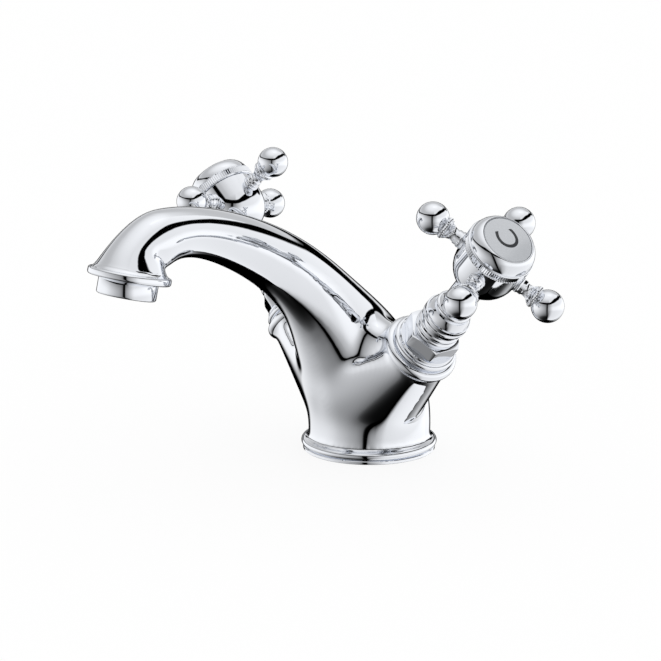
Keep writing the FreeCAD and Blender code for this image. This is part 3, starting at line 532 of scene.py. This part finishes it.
def ink():
    """The dark enamel of the letters."""
    colour = tuple(bpy.context.scene.tap_finish.letter_colour)
    return finish("letter_enamel", colour, metallic=0.0, least=0.25, most=0.35)


# The light tent that the chrome reflects. Azimuths and elevations are in degrees: azimuth 0 is ahead of the
# tap and 90 on its cold side. EDGE is how far a card's edge fades to either side.

# The black band round the tent: a share of the full turn from behind the tap, then a share of a right angle.
BAND_HEIGHT_SHARES = (
    (0.00, 0.30), (0.05, 0.16), (0.27, 0.14), (0.34, 0.22), (0.48, 0.31), (0.60, 0.335),
    (0.68, 0.345), (0.75, 0.42), (0.84, 0.46), (0.92, 0.40), (1.00, 0.30),
)
BAND_WIDTH_SHARES = (
    (0.00, 0.07), (0.27, 0.03), (0.45, 0.04), (0.55, 0.07), (0.68, 0.08), (0.80, 0.11),
    (0.90, 0.09), (1.00, 0.07),
)
BAND_EDGE = 1.5
# The black strip below the band: a share of the way out of it to either side, then the light there.
STRIP_AZIMUTH = 43.5
STRIP_BEFORE = 95.0
STRIP_PAST = 45.0
STRIP_FADE_SHARES = (
    (0.00, 0.00), (0.045, 0.01), (0.075, 0.18), (0.17, 0.36), (0.32, 0.50), (0.55, 0.72),
    (0.80, 0.95), (1.00, 1.00),
)
STRIP_TOP_EDGE = 2.0
# The light up the tent: a share of the way from straight down to straight up, then the light there.
UPRIGHT_LIGHT_SHARES = (
    (0.00, 0.02), (0.14, 0.03), (0.21, 0.26), (0.30, 0.60), (0.39, 0.86), (0.47, 1.00),
    (0.55, 0.88), (0.62, 0.62), (0.69, 0.52), (0.78, 0.68), (0.87, 0.88), (1.00, 1.00),
)
# The white card on the cold side, and the black card behind the tap: where their edges start and end.
SIDE_CARD = (44.0, 62.0)
SIDE_LIGHT = 0.82
BACK_CARD_MIDDLE = -128.0
BACK_CARD_SIDES = (22.0, 32.0)
BACK_CARD_TOP = (-1.0, 9.0)


def tent_light(tree):
    """How bright the tent is in each direction: white walls, black gaps between its cards, a dark foot."""
    direction = add_node(tree, "ShaderNodeTexCoord").outputs["Generated"]
    parts = add_node(tree, "ShaderNodeSeparateXYZ")
    tree.links.new(direction, parts.inputs[0])
    height = math_node(tree, "ARCSINE", parts.outputs["Z"])
    elevation = math_node(tree, "MULTIPLY", height, 180 / math.pi)
    forward = math_node(tree, "MULTIPLY", parts.outputs["Y"], -1.0)
    around = math_node(tree, "ARCTAN2", parts.outputs["X"], forward)
    azimuth = math_node(tree, "MULTIPLY", around, 180 / math.pi)
    turn_share = math_node(tree, "ADD", math_node(tree, "DIVIDE", azimuth, 360.0), 0.5)

    band_middle = math_node(tree, "MULTIPLY", curve_of(tree, turn_share, BAND_HEIGHT_SHARES), 90.0)
    band_half = math_node(tree, "MULTIPLY", curve_of(tree, turn_share, BAND_WIDTH_SHARES), 90.0)
    over_middle = math_node(tree, "SUBTRACT", elevation, band_middle)
    past_band = math_node(tree, "SUBTRACT", math_node(tree, "ABSOLUTE", over_middle), band_half)
    band = ramp_between(tree, past_band, -BAND_EDGE, BAND_EDGE)

    past_strip = math_node(tree, "SUBTRACT", azimuth, STRIP_AZIMUTH)
    before_share = math_node(tree, "DIVIDE", past_strip, -STRIP_BEFORE)
    past_share = math_node(tree, "DIVIDE", past_strip, STRIP_PAST)
    strip_share = math_node(tree, "MAXIMUM", before_share, past_share)
    strip = curve_of(tree, strip_share, STRIP_FADE_SHARES)
    above = ramp_between(tree, over_middle, -STRIP_TOP_EDGE, STRIP_TOP_EDGE)
    strip_or_top = math_node(tree, "MAXIMUM", strip, above)

    from_back = math_node(tree, "ABSOLUTE", math_node(tree, "SUBTRACT", azimuth, BACK_CARD_MIDDLE))
    beside_card = ramp_between(tree, from_back, *BACK_CARD_SIDES)
    over_card = ramp_between(tree, elevation, *BACK_CARD_TOP)
    back_card = math_node(tree, "MAXIMUM", beside_card, over_card)

    height_share = math_node(tree, "DIVIDE", math_node(tree, "ADD", elevation, 90.0), 180.0)
    upright = curve_of(tree, height_share, UPRIGHT_LIGHT_SHARES)
    side_card = ramp_between(tree, azimuth, *SIDE_CARD, 0.0, SIDE_LIGHT)
    light = math_node(tree, "MULTIPLY", band, strip_or_top)
    light = math_node(tree, "MULTIPLY", light, back_card)
    return math_node(tree, "MULTIPLY", light, math_node(tree, "MAXIMUM", upright, side_card))


class TAP_OT_studio(bpy.types.Operator):
    """Set up the pale floor, the light tent and the camera"""

    bl_idname = "tap.studio"
    bl_label = "Studio"

    def execute(self, context):
        settings = context.scene.tap_studio
        self.light_world(context.scene, settings)
        self.add_floor(settings)
        self.add_camera(context.scene, settings)
        context.scene.view_settings.view_transform = "Standard"
        return {"FINISHED"}

    def light_world(self, scene, settings):
        """An even white room, which reflections show as the light tent."""
        scene.world = bpy.data.worlds.new("light_tent")
        scene.world.use_nodes = True
        tree = scene.world.node_tree
        room = tree.nodes["Background"]
        set_inputs(room, {"Color": (1.0, 1.0, 1.0, 1.0), "Strength": settings.room_strength})
        tent = add_node(tree, "ShaderNodeBackground")
        set_inputs(tent, {"Strength": settings.tent_strength})
        tree.links.new(tent_light(tree), tent.inputs["Color"])
        path = add_node(tree, "ShaderNodeLightPath")
        mixed_shaders(tree, path.outputs["Is Glossy Ray"], room, tent, "World Output")

    def add_floor(self, settings):
        """A pale floor that the chrome doesn't show, because the tent's foot stands for it."""
        deselect_all()
        bpy.ops.mesh.primitive_plane_add(size=settings.floor_size)
        floor = bpy.context.object
        floor.name = "floor"
        floor.visible_glossy = False
        material, tree, shader = new_material("pale_floor")
        set_inputs(shader, {"Base Color": (*settings.floor_colour, 1.0), "Roughness": 0.9})
        glow = add_node(tree, "ShaderNodeEmission")
        mixed_shaders(tree, settings.floor_glow, shader, glow, "Material Output")
        floor.data.materials.append(material)

    def add_camera(self, scene, settings):
        """A camera that looks along its azimuth and elevation, moved back, right and up in its own frame."""
        turn = settings.camera_azimuth
        tilt = settings.camera_elevation
        back = Vector((math.sin(turn) * math.cos(tilt), -math.cos(turn) * math.cos(tilt), math.sin(tilt)))
        right = Vector((math.cos(turn), math.sin(turn), 0.0))
        up = back.cross(right)
        place = right * settings.camera_right + up * settings.camera_up + back * settings.camera_distance
        bpy.ops.object.camera_add()
        camera = bpy.context.object
        camera.matrix_world = Matrix.Translation(place) @ Matrix((right, up, back)).transposed().to_4x4()
        camera.data.sensor_width = SENSOR_WIDTH
        camera.data.lens = settings.focal_length
        scene.camera = camera


# Rings on the body's front that each web springs from: height, how far forward, radius, lean.
WEB_BODY_RINGS = (
    (0.0160, 0.0010, 0.0245, 0.0),
    (0.0300, 0.0052, 0.0238, math.radians(14)),
    (0.0460, 0.0128, 0.0206, math.radians(33)),
)
# Rings on the arm's front that each web runs to: distance along the arm, share of the arm's radius.
WEB_ARM_RINGS = (
    (0.0360, 1.05),
    (0.0515, 1.00),
)
# The part of each ring that is kept, in degrees from the body's front, or from the arm's top.
WEB_BODY_PART = (5.0, 58.0)
WEB_ARM_PART = (75.0, 150.0)
WEB_STEPS = 144
# Smoothing of the skin: rounds all over, then how near a web the blend is full and the distance over which
# it fades, and the height where it runs out, the height over which it does and the least share it keeps.
SKIN_ROUNDS = 14
BLEND_NEAR = 0.001
BLEND_FADE = 0.010
BLEND_TOP = 0.044
BLEND_TOP_FADE = 0.012
BLEND_LEAST = 0.25
FOOT_CUT = 0.0040


class TAP_OT_body(bpy.types.Operator):
    """Model the casting: body and spout, the two arms and the web before each, in one smooth skin"""

    bl_idname = "tap.body"
    bl_label = "Body and spout"

    def execute(self, context):
        casting = placed_copy("casting", frame["nodes"]["body_casting"], Matrix())
        edit(casting)
        merge_doubles()
        bpy.ops.object.mode_set(mode="OBJECT")
        webs = [self.web(side) for side in SIDES]
        junction = joined("junction", [placed_copy("web_copy", piece, Matrix()) for piece in webs])
        skin = joined("body_skin", [casting, *webs])
        self.melt(skin, junction)
        self.cut_foot(skin)
        make_active(skin)
        bpy.ops.object.shade_smooth()
        dress(skin, chrome(), "tap", "chrome", "body_casting")
        discard(junction)
        return {"FINISHED"}

    def web(self, side):
        """The web before an arm: rings on the body's front and on the arm's front, hulled together."""
        arm_radius = bpy.context.scene.tap_body.arm_radius
        way = 1.0 if side == "cold" else -1.0
        rings = []
        for height, forward, radius, lean in WEB_BODY_RINGS:
            ring = self.circle(radius)
            ring.matrix_world = Matrix.Translation((0.0, -forward, height)) @ Matrix.Rotation(lean, 4, "X")
            apply_place(ring)
            self.trim(ring, lambda place: math.atan2(place.x * way, -place.y - forward), WEB_BODY_PART)
            rings.append(ring)
        for length, share in WEB_ARM_RINGS:
            ring = self.circle(arm_radius * share)
            self.trim(ring, lambda place: math.atan2(-place.y * way, -place.x), WEB_ARM_PART)
            ring.matrix_world = valve_place(side) @ Matrix.Translation((0.0, 0.0, length))
            apply_place(ring)
            rings.append(ring)
        web = joined(f"{side}_web", rings)
        edit(web)
        bpy.ops.mesh.select_all(action="SELECT")
        bpy.ops.mesh.convex_hull()
        bpy.ops.mesh.select_all(action="SELECT")
        bpy.ops.mesh.normals_make_consistent(inside=False)
        bpy.ops.object.mode_set(mode="OBJECT")
        return web

    def circle(self, radius):
        """A whole ring about the Z axis."""
        deselect_all()
        bpy.ops.mesh.primitive_circle_add(vertices=WEB_STEPS, radius=radius)
        return bpy.context.object

    def trim(self, ring, bearing, part):
        """Delete the vertices of a ring whose bearing lies outside a part of the turn."""
        start, end = part
        pick(ring, lambda place: not start < math.degrees(bearing(place)) < end)
        bpy.ops.mesh.delete(type="VERT")
        bpy.ops.object.mode_set(mode="OBJECT")

    def melt(self, skin, junction):
        """Melt the forms into one skin and smooth it, most round the arms."""
        body = bpy.context.scene.tap_body
        use_modifier(skin, "REMESH", mode="VOXEL", voxel_size=body.grain, adaptivity=0.0)
        use_modifier(skin, "SMOOTH", factor=0.5, iterations=SKIN_ROUNDS)
        near = skin.vertex_groups.new(name="near_joins")
        surface = BVHTree.FromPolygons([vertex.co for vertex in junction.data.vertices],
                                       [face.vertices for face in junction.data.polygons])
        for vertex in skin.data.vertices:
            gap = surface.find_nearest(vertex.co)[3]
            away = min(max((gap - BLEND_NEAR) / BLEND_FADE, 0.0), 1.0)
            low = min(max((BLEND_TOP - vertex.co.z) / BLEND_TOP_FADE, BLEND_LEAST), 1.0)
            near.add([vertex.index], (1.0 - away * away * (3 - 2 * away)) * low, "REPLACE")
        use_modifier(skin, "SMOOTH", factor=0.5, iterations=body.blend_rounds, vertex_group="near_joins")
        skin.vertex_groups.clear()

    def cut_foot(self, skin):
        """Cut the skin off inside the base's bead."""
        edit(skin)
        bpy.ops.mesh.select_all(action="SELECT")
        bpy.ops.mesh.bisect(plane_co=(0.0, 0.0, FOOT_CUT), plane_no=(0.0, 0.0, 1.0), clear_inner=True)
        bpy.ops.object.mode_set(mode="OBJECT")


# The base's gasket groove, the curve of its bead and the wall inside the skin.
GROOVE_INNER = 0.02035
GROOVE_OUTER = 0.02345
GROOVE_DEPTH = 0.0016
BEAD_CURVE = 0.0016
WALL_RADIUS = 0.0229
WALL_TOP = 0.0146
# Two inlets and the stud hole in the base's underside: across, back, radius, depth.
BASE_HOLES = (
    (0.009, 0.005, 0.00446, 0.012),
    (-0.009, 0.005, 0.00446, 0.012),
    (0.0, -0.011, 0.00332, 0.014),
)


class TAP_OT_base(bpy.types.Operator):
    """Model the base: band, bead, gasket groove, inlets and stud hole"""

    bl_idname = "tap.base"
    bl_label = "Base"

    def execute(self, context):
        bead = context.scene.tap_body.flange_radius
        rim = bead - BEAD_CURVE
        foot = rim + 0.0009
        base = turned_piece("base_ring", [
            (0.0, 0.0),
            (GROOVE_INNER, 0.0),
            (GROOVE_INNER, GROOVE_DEPTH),
            (GROOVE_OUTER, GROOVE_DEPTH),
            (GROOVE_OUTER, 0.0),
            (foot, 0.0),
            (foot, 0.0013),
            (rim, 0.0016),
            (bead, 0.0032, BEAD_CURVE, 1),
            (rim, 0.0048, BEAD_CURVE, 1),
            (WALL_RADIUS, 0.0048),
            (WALL_RADIUS, WALL_TOP),
            (0.0, WALL_TOP),
        ], steps=160)
        for across, back, radius, depth in BASE_HOLES:
            deselect_all()
            bpy.ops.mesh.primitive_cylinder_add(vertices=64, radius=radius, depth=depth * 2,
                                                location=(across, back, 0.0))
            drill = bpy.context.object
            apply_place(drill)
            shape_with(base, drill, "DIFFERENCE")
        smooth(base)
        dress(base, chrome(), "tap", "chrome")
        return {"FINISHED"}


# Profiles at the mouth, from the outlet's face up: the flange round the bell and the aerator's housing.
FLANGE_PROFILE = (
    (0.01085, 0.0065),
    (0.01475, 0.0065),
    (0.01575, 0.0075, 0.001, 1),
    (0.01575, 0.0085),
    (0.01475, 0.0095, 0.001, 1),
    (0.0138, 0.0098),
    (0.0132, 0.0112),
    (0.01085, 0.0112),
)
HOUSING_PROFILE = (
    (0.0082, 0.0),
    (0.01078, 0.0),
    (0.01128, 0.0005),
    (0.01128, 0.0062),
    (0.0109, 0.0065),
    (0.01075, 0.0065),
    (0.01075, 0.0112),
    (0.0094, 0.0112),
    (0.0094, 0.0016),
    (0.0082, 0.0016),
)


class TAP_OT_mouth(bpy.types.Operator):
    """Model the mouth's flange and the aerator housing"""

    bl_idname = "tap.mouth"
    bl_label = "Mouth and aerator"

    def execute(self, context):
        flange = turned_piece("mouth_ring", FLANGE_PROFILE)
        housing = turned_piece("aerator_ring", HOUSING_PROFILE, ease=0.0002)
        for piece, nodes in ((flange, ()), (housing, ("aerator_housing",))):
            piece.matrix_world = mouth_place()
            apply_place(piece)
            smooth(piece)
            dress(piece, chrome(), "tap", "chrome", *nodes)
        return {"FINISHED"}


# Profiles on a valve, from the arm's end out: the arm's bead and the headwork from its flange to its collar.
BEAD_PROFILE = (
    (0.0103, -0.0075),
    (0.0124, -0.0075),
    (0.0128, -0.0046),
    (0.0151, -0.0023, 0.0023, 1),
    (0.0128, 0.0, 0.0023, 1),
    (0.0103, 0.0),
)
BARREL_PROFILE = (
    (0.0040, -0.006),
    (0.0100, -0.006),
    (0.0100, 0.0001),
    (0.0121, 0.0001),
    (0.0121, 0.0006),
    (0.0119, 0.0006),
    (0.0131, 0.0018, 0.0012, 1),
    (0.0119, 0.0030, 0.0012, 1),
    (0.0116, 0.0033),
    (0.0120, 0.0036),
    (0.0116, 0.0044),
    (0.0088, 0.0044),
    (0.0088, 0.0114),
    (0.0091, 0.0118),
    (0.0091, 0.0128),
    (0.0086, 0.0131),
    (0.0086, 0.0137),
    (0.0090, 0.0140),
    (0.0090, 0.0152),
    (0.0084, 0.0156),
    (0.0084, 0.0163),
    (0.0089, 0.0166),
    (0.0089, 0.0184),
    (0.0040, 0.0184),
)
# The hexagon: its bottom from the arm's end, its height, its eased edges and the height of its end cones.
HEXAGON_BOTTOM = 0.0044
HEXAGON_HEIGHT = 0.0066
HEXAGON_EASE = 0.00022
HEXAGON_CONE = 0.0009


class TAP_OT_headworks(bpy.types.Operator):
    """Model the arm beads and the screwed headworks with their hexagons"""

    bl_idname = "tap.headworks"
    bl_label = "Headworks"

    def execute(self, context):
        arm_end = context.scene.tap_body.arm_length
        bead = turned_piece("bead", raised(BEAD_PROFILE, arm_end))
        barrel = turned_piece("barrel", raised(BARREL_PROFILE, arm_end), ease=0.0001)
        headwork = joined("headwork", [barrel, self.hexagon(arm_end + HEXAGON_BOTTOM)])
        for side in SIDES:
            place = valve_place(side)
            ring = placed_copy(f"{side}_arm_bead", bead, place)
            smooth(ring)
            dress(ring, chrome(), "tap", "chrome")
            turn = context.scene.tap_valve.hexagon_turn * (1 if side == "cold" else -1)
            piece = placed_copy(f"{side}_headwork_dressed", headwork, place @ Matrix.Rotation(turn, 4, "Z"))
            smooth(piece)
            dress(piece, chrome(), "tap", "chrome", f"{side}_headwork")
        discard(bead, headwork)
        return {"FINISHED"}

    def hexagon(self, bottom):
        """A hexagon with eased edges, its corners turned down to a cone at both ends."""
        inner = bpy.context.scene.tap_valve.hexagon_flats / 2
        corner = inner / math.cos(math.pi / 6)
        top = bottom + HEXAGON_HEIGHT
        deselect_all()
        bpy.ops.mesh.primitive_cylinder_add(vertices=6, radius=corner, depth=HEXAGON_HEIGHT,
                                            location=(0.0, 0.0, bottom + HEXAGON_HEIGHT / 2),
                                            rotation=(0.0, 0.0, math.pi / 6))
        hexagon = bpy.context.object
        apply_place(hexagon)
        edit(hexagon)
        bpy.ops.mesh.select_all(action="SELECT")
        bpy.ops.mesh.bevel(offset=HEXAGON_EASE, segments=2, affect="EDGES")
        bpy.ops.object.mode_set(mode="OBJECT")
        outer = corner + 0.0002
        past = 0.0001
        turning = turned_piece("hexagon_turning", [
            (0.0, bottom - past),
            (inner, bottom - past),
            (outer, bottom + HEXAGON_CONE),
            (outer, top - HEXAGON_CONE),
            (inner, top + past),
            (0.0, top + past),
        ], steps=96)
        shape_with(hexagon, turning, "INTERSECT")
        return hexagon


# Along a valve's axis: where the handle starts, its crosshead, the hub's top and the cap's.
HANDLE_BOTTOM = 0.0732
CROSSHEAD = 0.1112
HUB_TOP = 0.1168
CAP_TOP = 0.1258
# The hub's profile from the handle's bottom: skirt, shoulder, stem and bowl.
HUB_PROFILE = (
    (0.0040, 0.0),
    (0.0094, 0.0),
    (0.0094, 0.0007),
    (0.0090, 0.0010),
    (0.0090, 0.0014),
    (0.0094, 0.0017),
    (0.0094, 0.0032),
    (0.0089, 0.0032),
    (0.0076, 0.0066, 0.009, 1),
    (0.0071, 0.0066),
    (0.0071, 0.0073),
    (0.0067, 0.0073),
    (0.0075, 0.0082, 0.0009, 1),
    (0.0067, 0.0091, 0.0009, 1),
    (0.0058, 0.0115, 0.006, -1),
    (0.0058, 0.0240),
    (0.0129, 0.03552, 0.0129, 1),
    (0.0129, 0.0434),
    (0.0124, 0.0436),
    (0.0040, 0.0436),
)
# An arm's profile from the valve's axis out: collar, waist, flare and ring. It ends at the ball.
SHANK_END = 0.0221
SHANK_PROFILE = (
    (0.0, 0.0112),
    (0.0034, 0.0112),
    (0.0034, 0.0128),
    (0.0030, 0.0131),
    (0.0033, 0.0135),
    (0.0033, 0.0141),
    (0.0029, 0.0145),
    (0.00295, 0.0159),
    (0.0025, 0.01625),
    (0.0025, 0.0173),
    (0.0039, 0.0199, 0.0052, -1),
    (0.0039, 0.0202),
    (0.00445, 0.0205),
    (0.00455, 0.0211),
    (0.00445, 0.0217),
    (0.0039, 0.0220),
    (0.0030, SHANK_END),
    (0.0, SHANK_END),
)
# Knurling on the flare and on the ring: from, to, least radius, depth as a share of the radius.
SHANK_KNURLS = (
    (0.0176, 0.0198, 0.0026, 0.07),
    (0.0204, 0.0218, 0.0042, 0.06),
)


class TAP_OT_handles(bpy.types.Operator):
    """Model the handle hubs and the crosshead arms with their knurled flares and balls"""

    bl_idname = "tap.handles"
    bl_label = "Handles"

    def execute(self, context):
        hub = turned_piece("hub", raised(HUB_PROFILE, HANDLE_BOTTOM), steps=160, ease=0.0001)
        arm = self.arm()
        outward = Matrix.Translation((0.0, 0.0, CROSSHEAD)) @ Matrix.Rotation(math.pi / 2, 4, "Y")
        for side in SIDES:
            piece = placed_copy(f"{side}_hub_dressed", hub, handle_place(side))
            smooth(piece)
            dress(piece, chrome(), f"{side}_handle", "chrome", f"{side}_handle_hub")
            for number in range(ARM_COUNT):
                turn = Matrix.Rotation(2 * math.pi * number / ARM_COUNT, 4, "Z")
                place = handle_place(side) @ turn @ outward
                piece = placed_copy(f"{side}_arm_{number + 1}_dressed", arm, place)
                smooth(piece)
                dress(piece, chrome(), f"{side}_handle", "chrome", f"{side}_arm_{number + 1}")
        discard(hub, arm)
        return {"FINISHED"}

    def arm(self):
        """One crosshead arm along Z: collar, waist, knurled flare and ring, and ball."""
        valve = bpy.context.scene.tap_valve
        steps = valve.arm_ridges * 2
        shank = turned_piece("shank", SHANK_PROFILE, steps=steps, ease=0.00008)
        for knurling in SHANK_KNURLS:
            knurl(shank, steps, *knurling)
        foot = math.sqrt(valve.ball_radius ** 2 - (valve.ball_circle - SHANK_END) ** 2)
        sunk_end = SHANK_END - 0.0004
        ball = turned_piece("ball", [
            (0.0, sunk_end),
            (foot * 0.92, sunk_end),
            (foot, SHANK_END),
            (0.0, valve.ball_circle + valve.ball_radius, valve.ball_radius, 1),
        ], steps=72)
        return joined("arm", [shank, ball])


# The cap's knurled band from the hub's top, and how deep its ridges are as a share of its radius.
CAP_BAND = (0.00065, 0.00305)
CAP_KNURL_DEPTH = 0.024
# The index disc: its radius, how deep it is let in, its rounded edge and how far its crown rises.
DISC_RADIUS = 0.01005
DISC_DEPTH = 0.0012
DISC_EDGE = 0.0004
DISC_RISE = 0.0008
# Half the thickness that a letter is cut from, and how far it stands proud of its disc.
LETTER_HALF = 0.0006
LETTER_PROUD = 0.00006


class TAP_OT_caps(bpy.types.Operator):
    """Model the domed caps with their knurled bands, the index discs and their letters"""

    bl_idname = "tap.caps"
    bl_label = "Caps and index discs"

    def execute(self, context):
        valve = context.scene.tap_valve
        cap = self.cap()
        disc = turned_piece("disc", self.disc_corners())
        for side, text in zip(SIDES, (valve.cold_letter, valve.hot_letter)):
            body = f"{side}_handle"
            piece = placed_copy(f"{side}_cap_dressed", cap, valve_place(side))
            smooth(piece, degrees=26)
            dress(piece, chrome(), body, "chrome", f"{side}_cap")
            piece = placed_copy(f"{side}_disc_dressed", disc, valve_place(side))
            smooth(piece)
            dress(piece, enamel(), body, "index_enamel", f"{side}_index_disc")
            letter = self.letter(text)
            piece = placed_copy(f"{side}_letter", letter, valve_place(side))
            dress(piece, ink(), body, "index_enamel")
            discard(letter)
        discard(cap, disc)
        return {"FINISHED"}

    def cap(self):
        """The cap: knurled band, bead, dome and the rim that holds the disc."""
        valve = bpy.context.scene.tap_valve
        radius = valve.cap_radius
        steps = valve.cap_ridges * 2
        well = CAP_TOP - DISC_DEPTH
        cap = turned_piece("cap", [
            (0.0, HUB_TOP - 0.0005),
            (0.0120, HUB_TOP - 0.0005),
            (0.0120, HUB_TOP),
            (radius - 0.0003, HUB_TOP),
            (radius, HUB_TOP + 0.0003),
            (radius, HUB_TOP + 0.0007),
            (radius, HUB_TOP + 0.0030),
            (radius, HUB_TOP + 0.0034),
            (radius - 0.0003, HUB_TOP + 0.0037),
            (radius - 0.0006, HUB_TOP + 0.0037),
            (radius - 0.0006, HUB_TOP + 0.0047),
            (0.0107, CAP_TOP - 0.0001, 0.0065, 1),
            (0.0104, CAP_TOP),
            (0.0101, CAP_TOP - 0.0001),
            (0.0101, well),
            (0.0, well),
        ], steps=steps, ease=0.00006)
        low, high = CAP_BAND
        knurl(cap, steps, HUB_TOP + low, HUB_TOP + high, radius - 0.0001, CAP_KNURL_DEPTH)
        return cap

    def disc_corners(self):
        """The domed disc's profile."""
        bottom = CAP_TOP - DISC_DEPTH
        crown_curve = (DISC_RADIUS * DISC_RADIUS + DISC_RISE * DISC_RISE) / (DISC_RISE * 2)
        return [
            (0.0, bottom),
            (DISC_RADIUS, bottom),
            (DISC_RADIUS, CAP_TOP - DISC_EDGE),
            (DISC_RADIUS - DISC_EDGE, CAP_TOP),
            (0.0, CAP_TOP + DISC_RISE, crown_curve, 1),
        ]

    def letter(self, text):
        """A letter whose face follows the disc's dome, standing just proud of it."""
        deselect_all()
        bpy.ops.object.text_add()
        outline = bpy.context.object.data
        outline.body = text
        outline.size = bpy.context.scene.tap_valve.letter_height
        outline.align_x = "CENTER"
        outline.align_y = "CENTER"
        outline.extrude = LETTER_HALF
        bpy.ops.object.convert(target="MESH")
        letter = bpy.context.object
        place = Matrix.Translation((0.0, 0.0, CAP_TOP + LETTER_HALF))
        letter.matrix_world = place @ Matrix.Rotation(math.pi, 4, "Z")
        apply_place(letter)
        edit(letter)
        merge_doubles()
        bpy.ops.mesh.normals_make_consistent(inside=False)
        bpy.ops.object.mode_set(mode="OBJECT")
        dome = turned_piece("dome", raised(self.disc_corners(), LETTER_PROUD))
        shape_with(letter, dome, "INTERSECT")
        return letter


# Finishes inside the tap and under it: slot, then name, colour, metallic, least and most roughness, scale of
# the marks, relief and shade.
INNER_FINISHES = (
    ("brass", "turned_brass", (0.72, 0.52, 0.20), 1.0, 0.22, 0.34, 180.0, 0.15, 0.12),
    ("steel", "bright_steel", (0.60, 0.60, 0.61), 1.0, 0.20, 0.32, 240.0, 0.10, 0.08),
    ("rubber", "black_rubber", (0.025, 0.025, 0.026), 0.0, 0.55, 0.72, 320.0, 0.30, 0.25),
    ("valve_ceramic", "lapped_ceramic", (0.86, 0.85, 0.81), 0.0, 0.10, 0.18, 90.0, 0.0, 0.04),
    ("washer_plastic", "white_plastic", (0.82, 0.81, 0.76), 0.0, 0.35, 0.48, 150.0, 0.10, 0.06),
    ("aerator_plastic", "grey_plastic", (0.60, 0.62, 0.64), 0.0, 0.38, 0.50, 150.0, 0.10, 0.08),
)


class TAP_OT_inner_finishes(bpy.types.Operator):
    """Give the pieces inside the tap and under it their finishes"""

    bl_idname = "tap.inner_finishes"
    bl_label = "Inner finishes"

    def execute(self, context):
        finishes = {"chrome": chrome(), "index_enamel": enamel()}
        for slot, *values in INNER_FINISHES:
            finishes[slot] = finish(*values)
        for part in frame["record"]["subparts"]:
            for material_slot in frame["nodes"][part["node"]].material_slots:
                material_slot.material = finishes[part["material_slot"]]
        return {"FINISHED"}


class TAP_PT_panel(bpy.types.Panel):
    """Lists the tap's operators"""

    bl_idname = "TAP_PT_panel"
    bl_label = "Basin mixer tap"
    bl_space_type = "VIEW_3D"
    bl_region_type = "UI"
    bl_category = "Tap"

    def draw(self, context):
        for operator in OPERATORS:
            self.layout.operator(operator.bl_idname)


SETTINGS = {
    "tap_studio": StudioSettings,
    "tap_body": BodySettings,
    "tap_valve": ValveSettings,
    "tap_finish": FinishSettings,
}
OPERATORS = (TAP_OT_studio, TAP_OT_body, TAP_OT_base, TAP_OT_mouth, TAP_OT_headworks, TAP_OT_handles,
             TAP_OT_caps, TAP_OT_inner_finishes)
CLASSES = (*SETTINGS.values(), *OPERATORS, TAP_PT_panel)


def register():
    for item in CLASSES:
        bpy.utils.register_class(item)
    for name, group in SETTINGS.items():
        setattr(bpy.types.Scene, name, PointerProperty(type=group))


def unregister():
    for name in SETTINGS:
        delattr(bpy.types.Scene, name)
    for item in reversed(CLASSES):
        bpy.utils.unregister_class(item)


def main():
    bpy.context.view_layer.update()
    register()
    bpy.ops.tap.studio()
    bpy.ops.tap.body()
    bpy.ops.tap.base()
    bpy.ops.tap.mouth()
    bpy.ops.tap.headworks()
    bpy.ops.tap.handles()
    bpy.ops.tap.caps()
    bpy.ops.tap.inner_finishes()


if __name__ == "__main__":
    main()
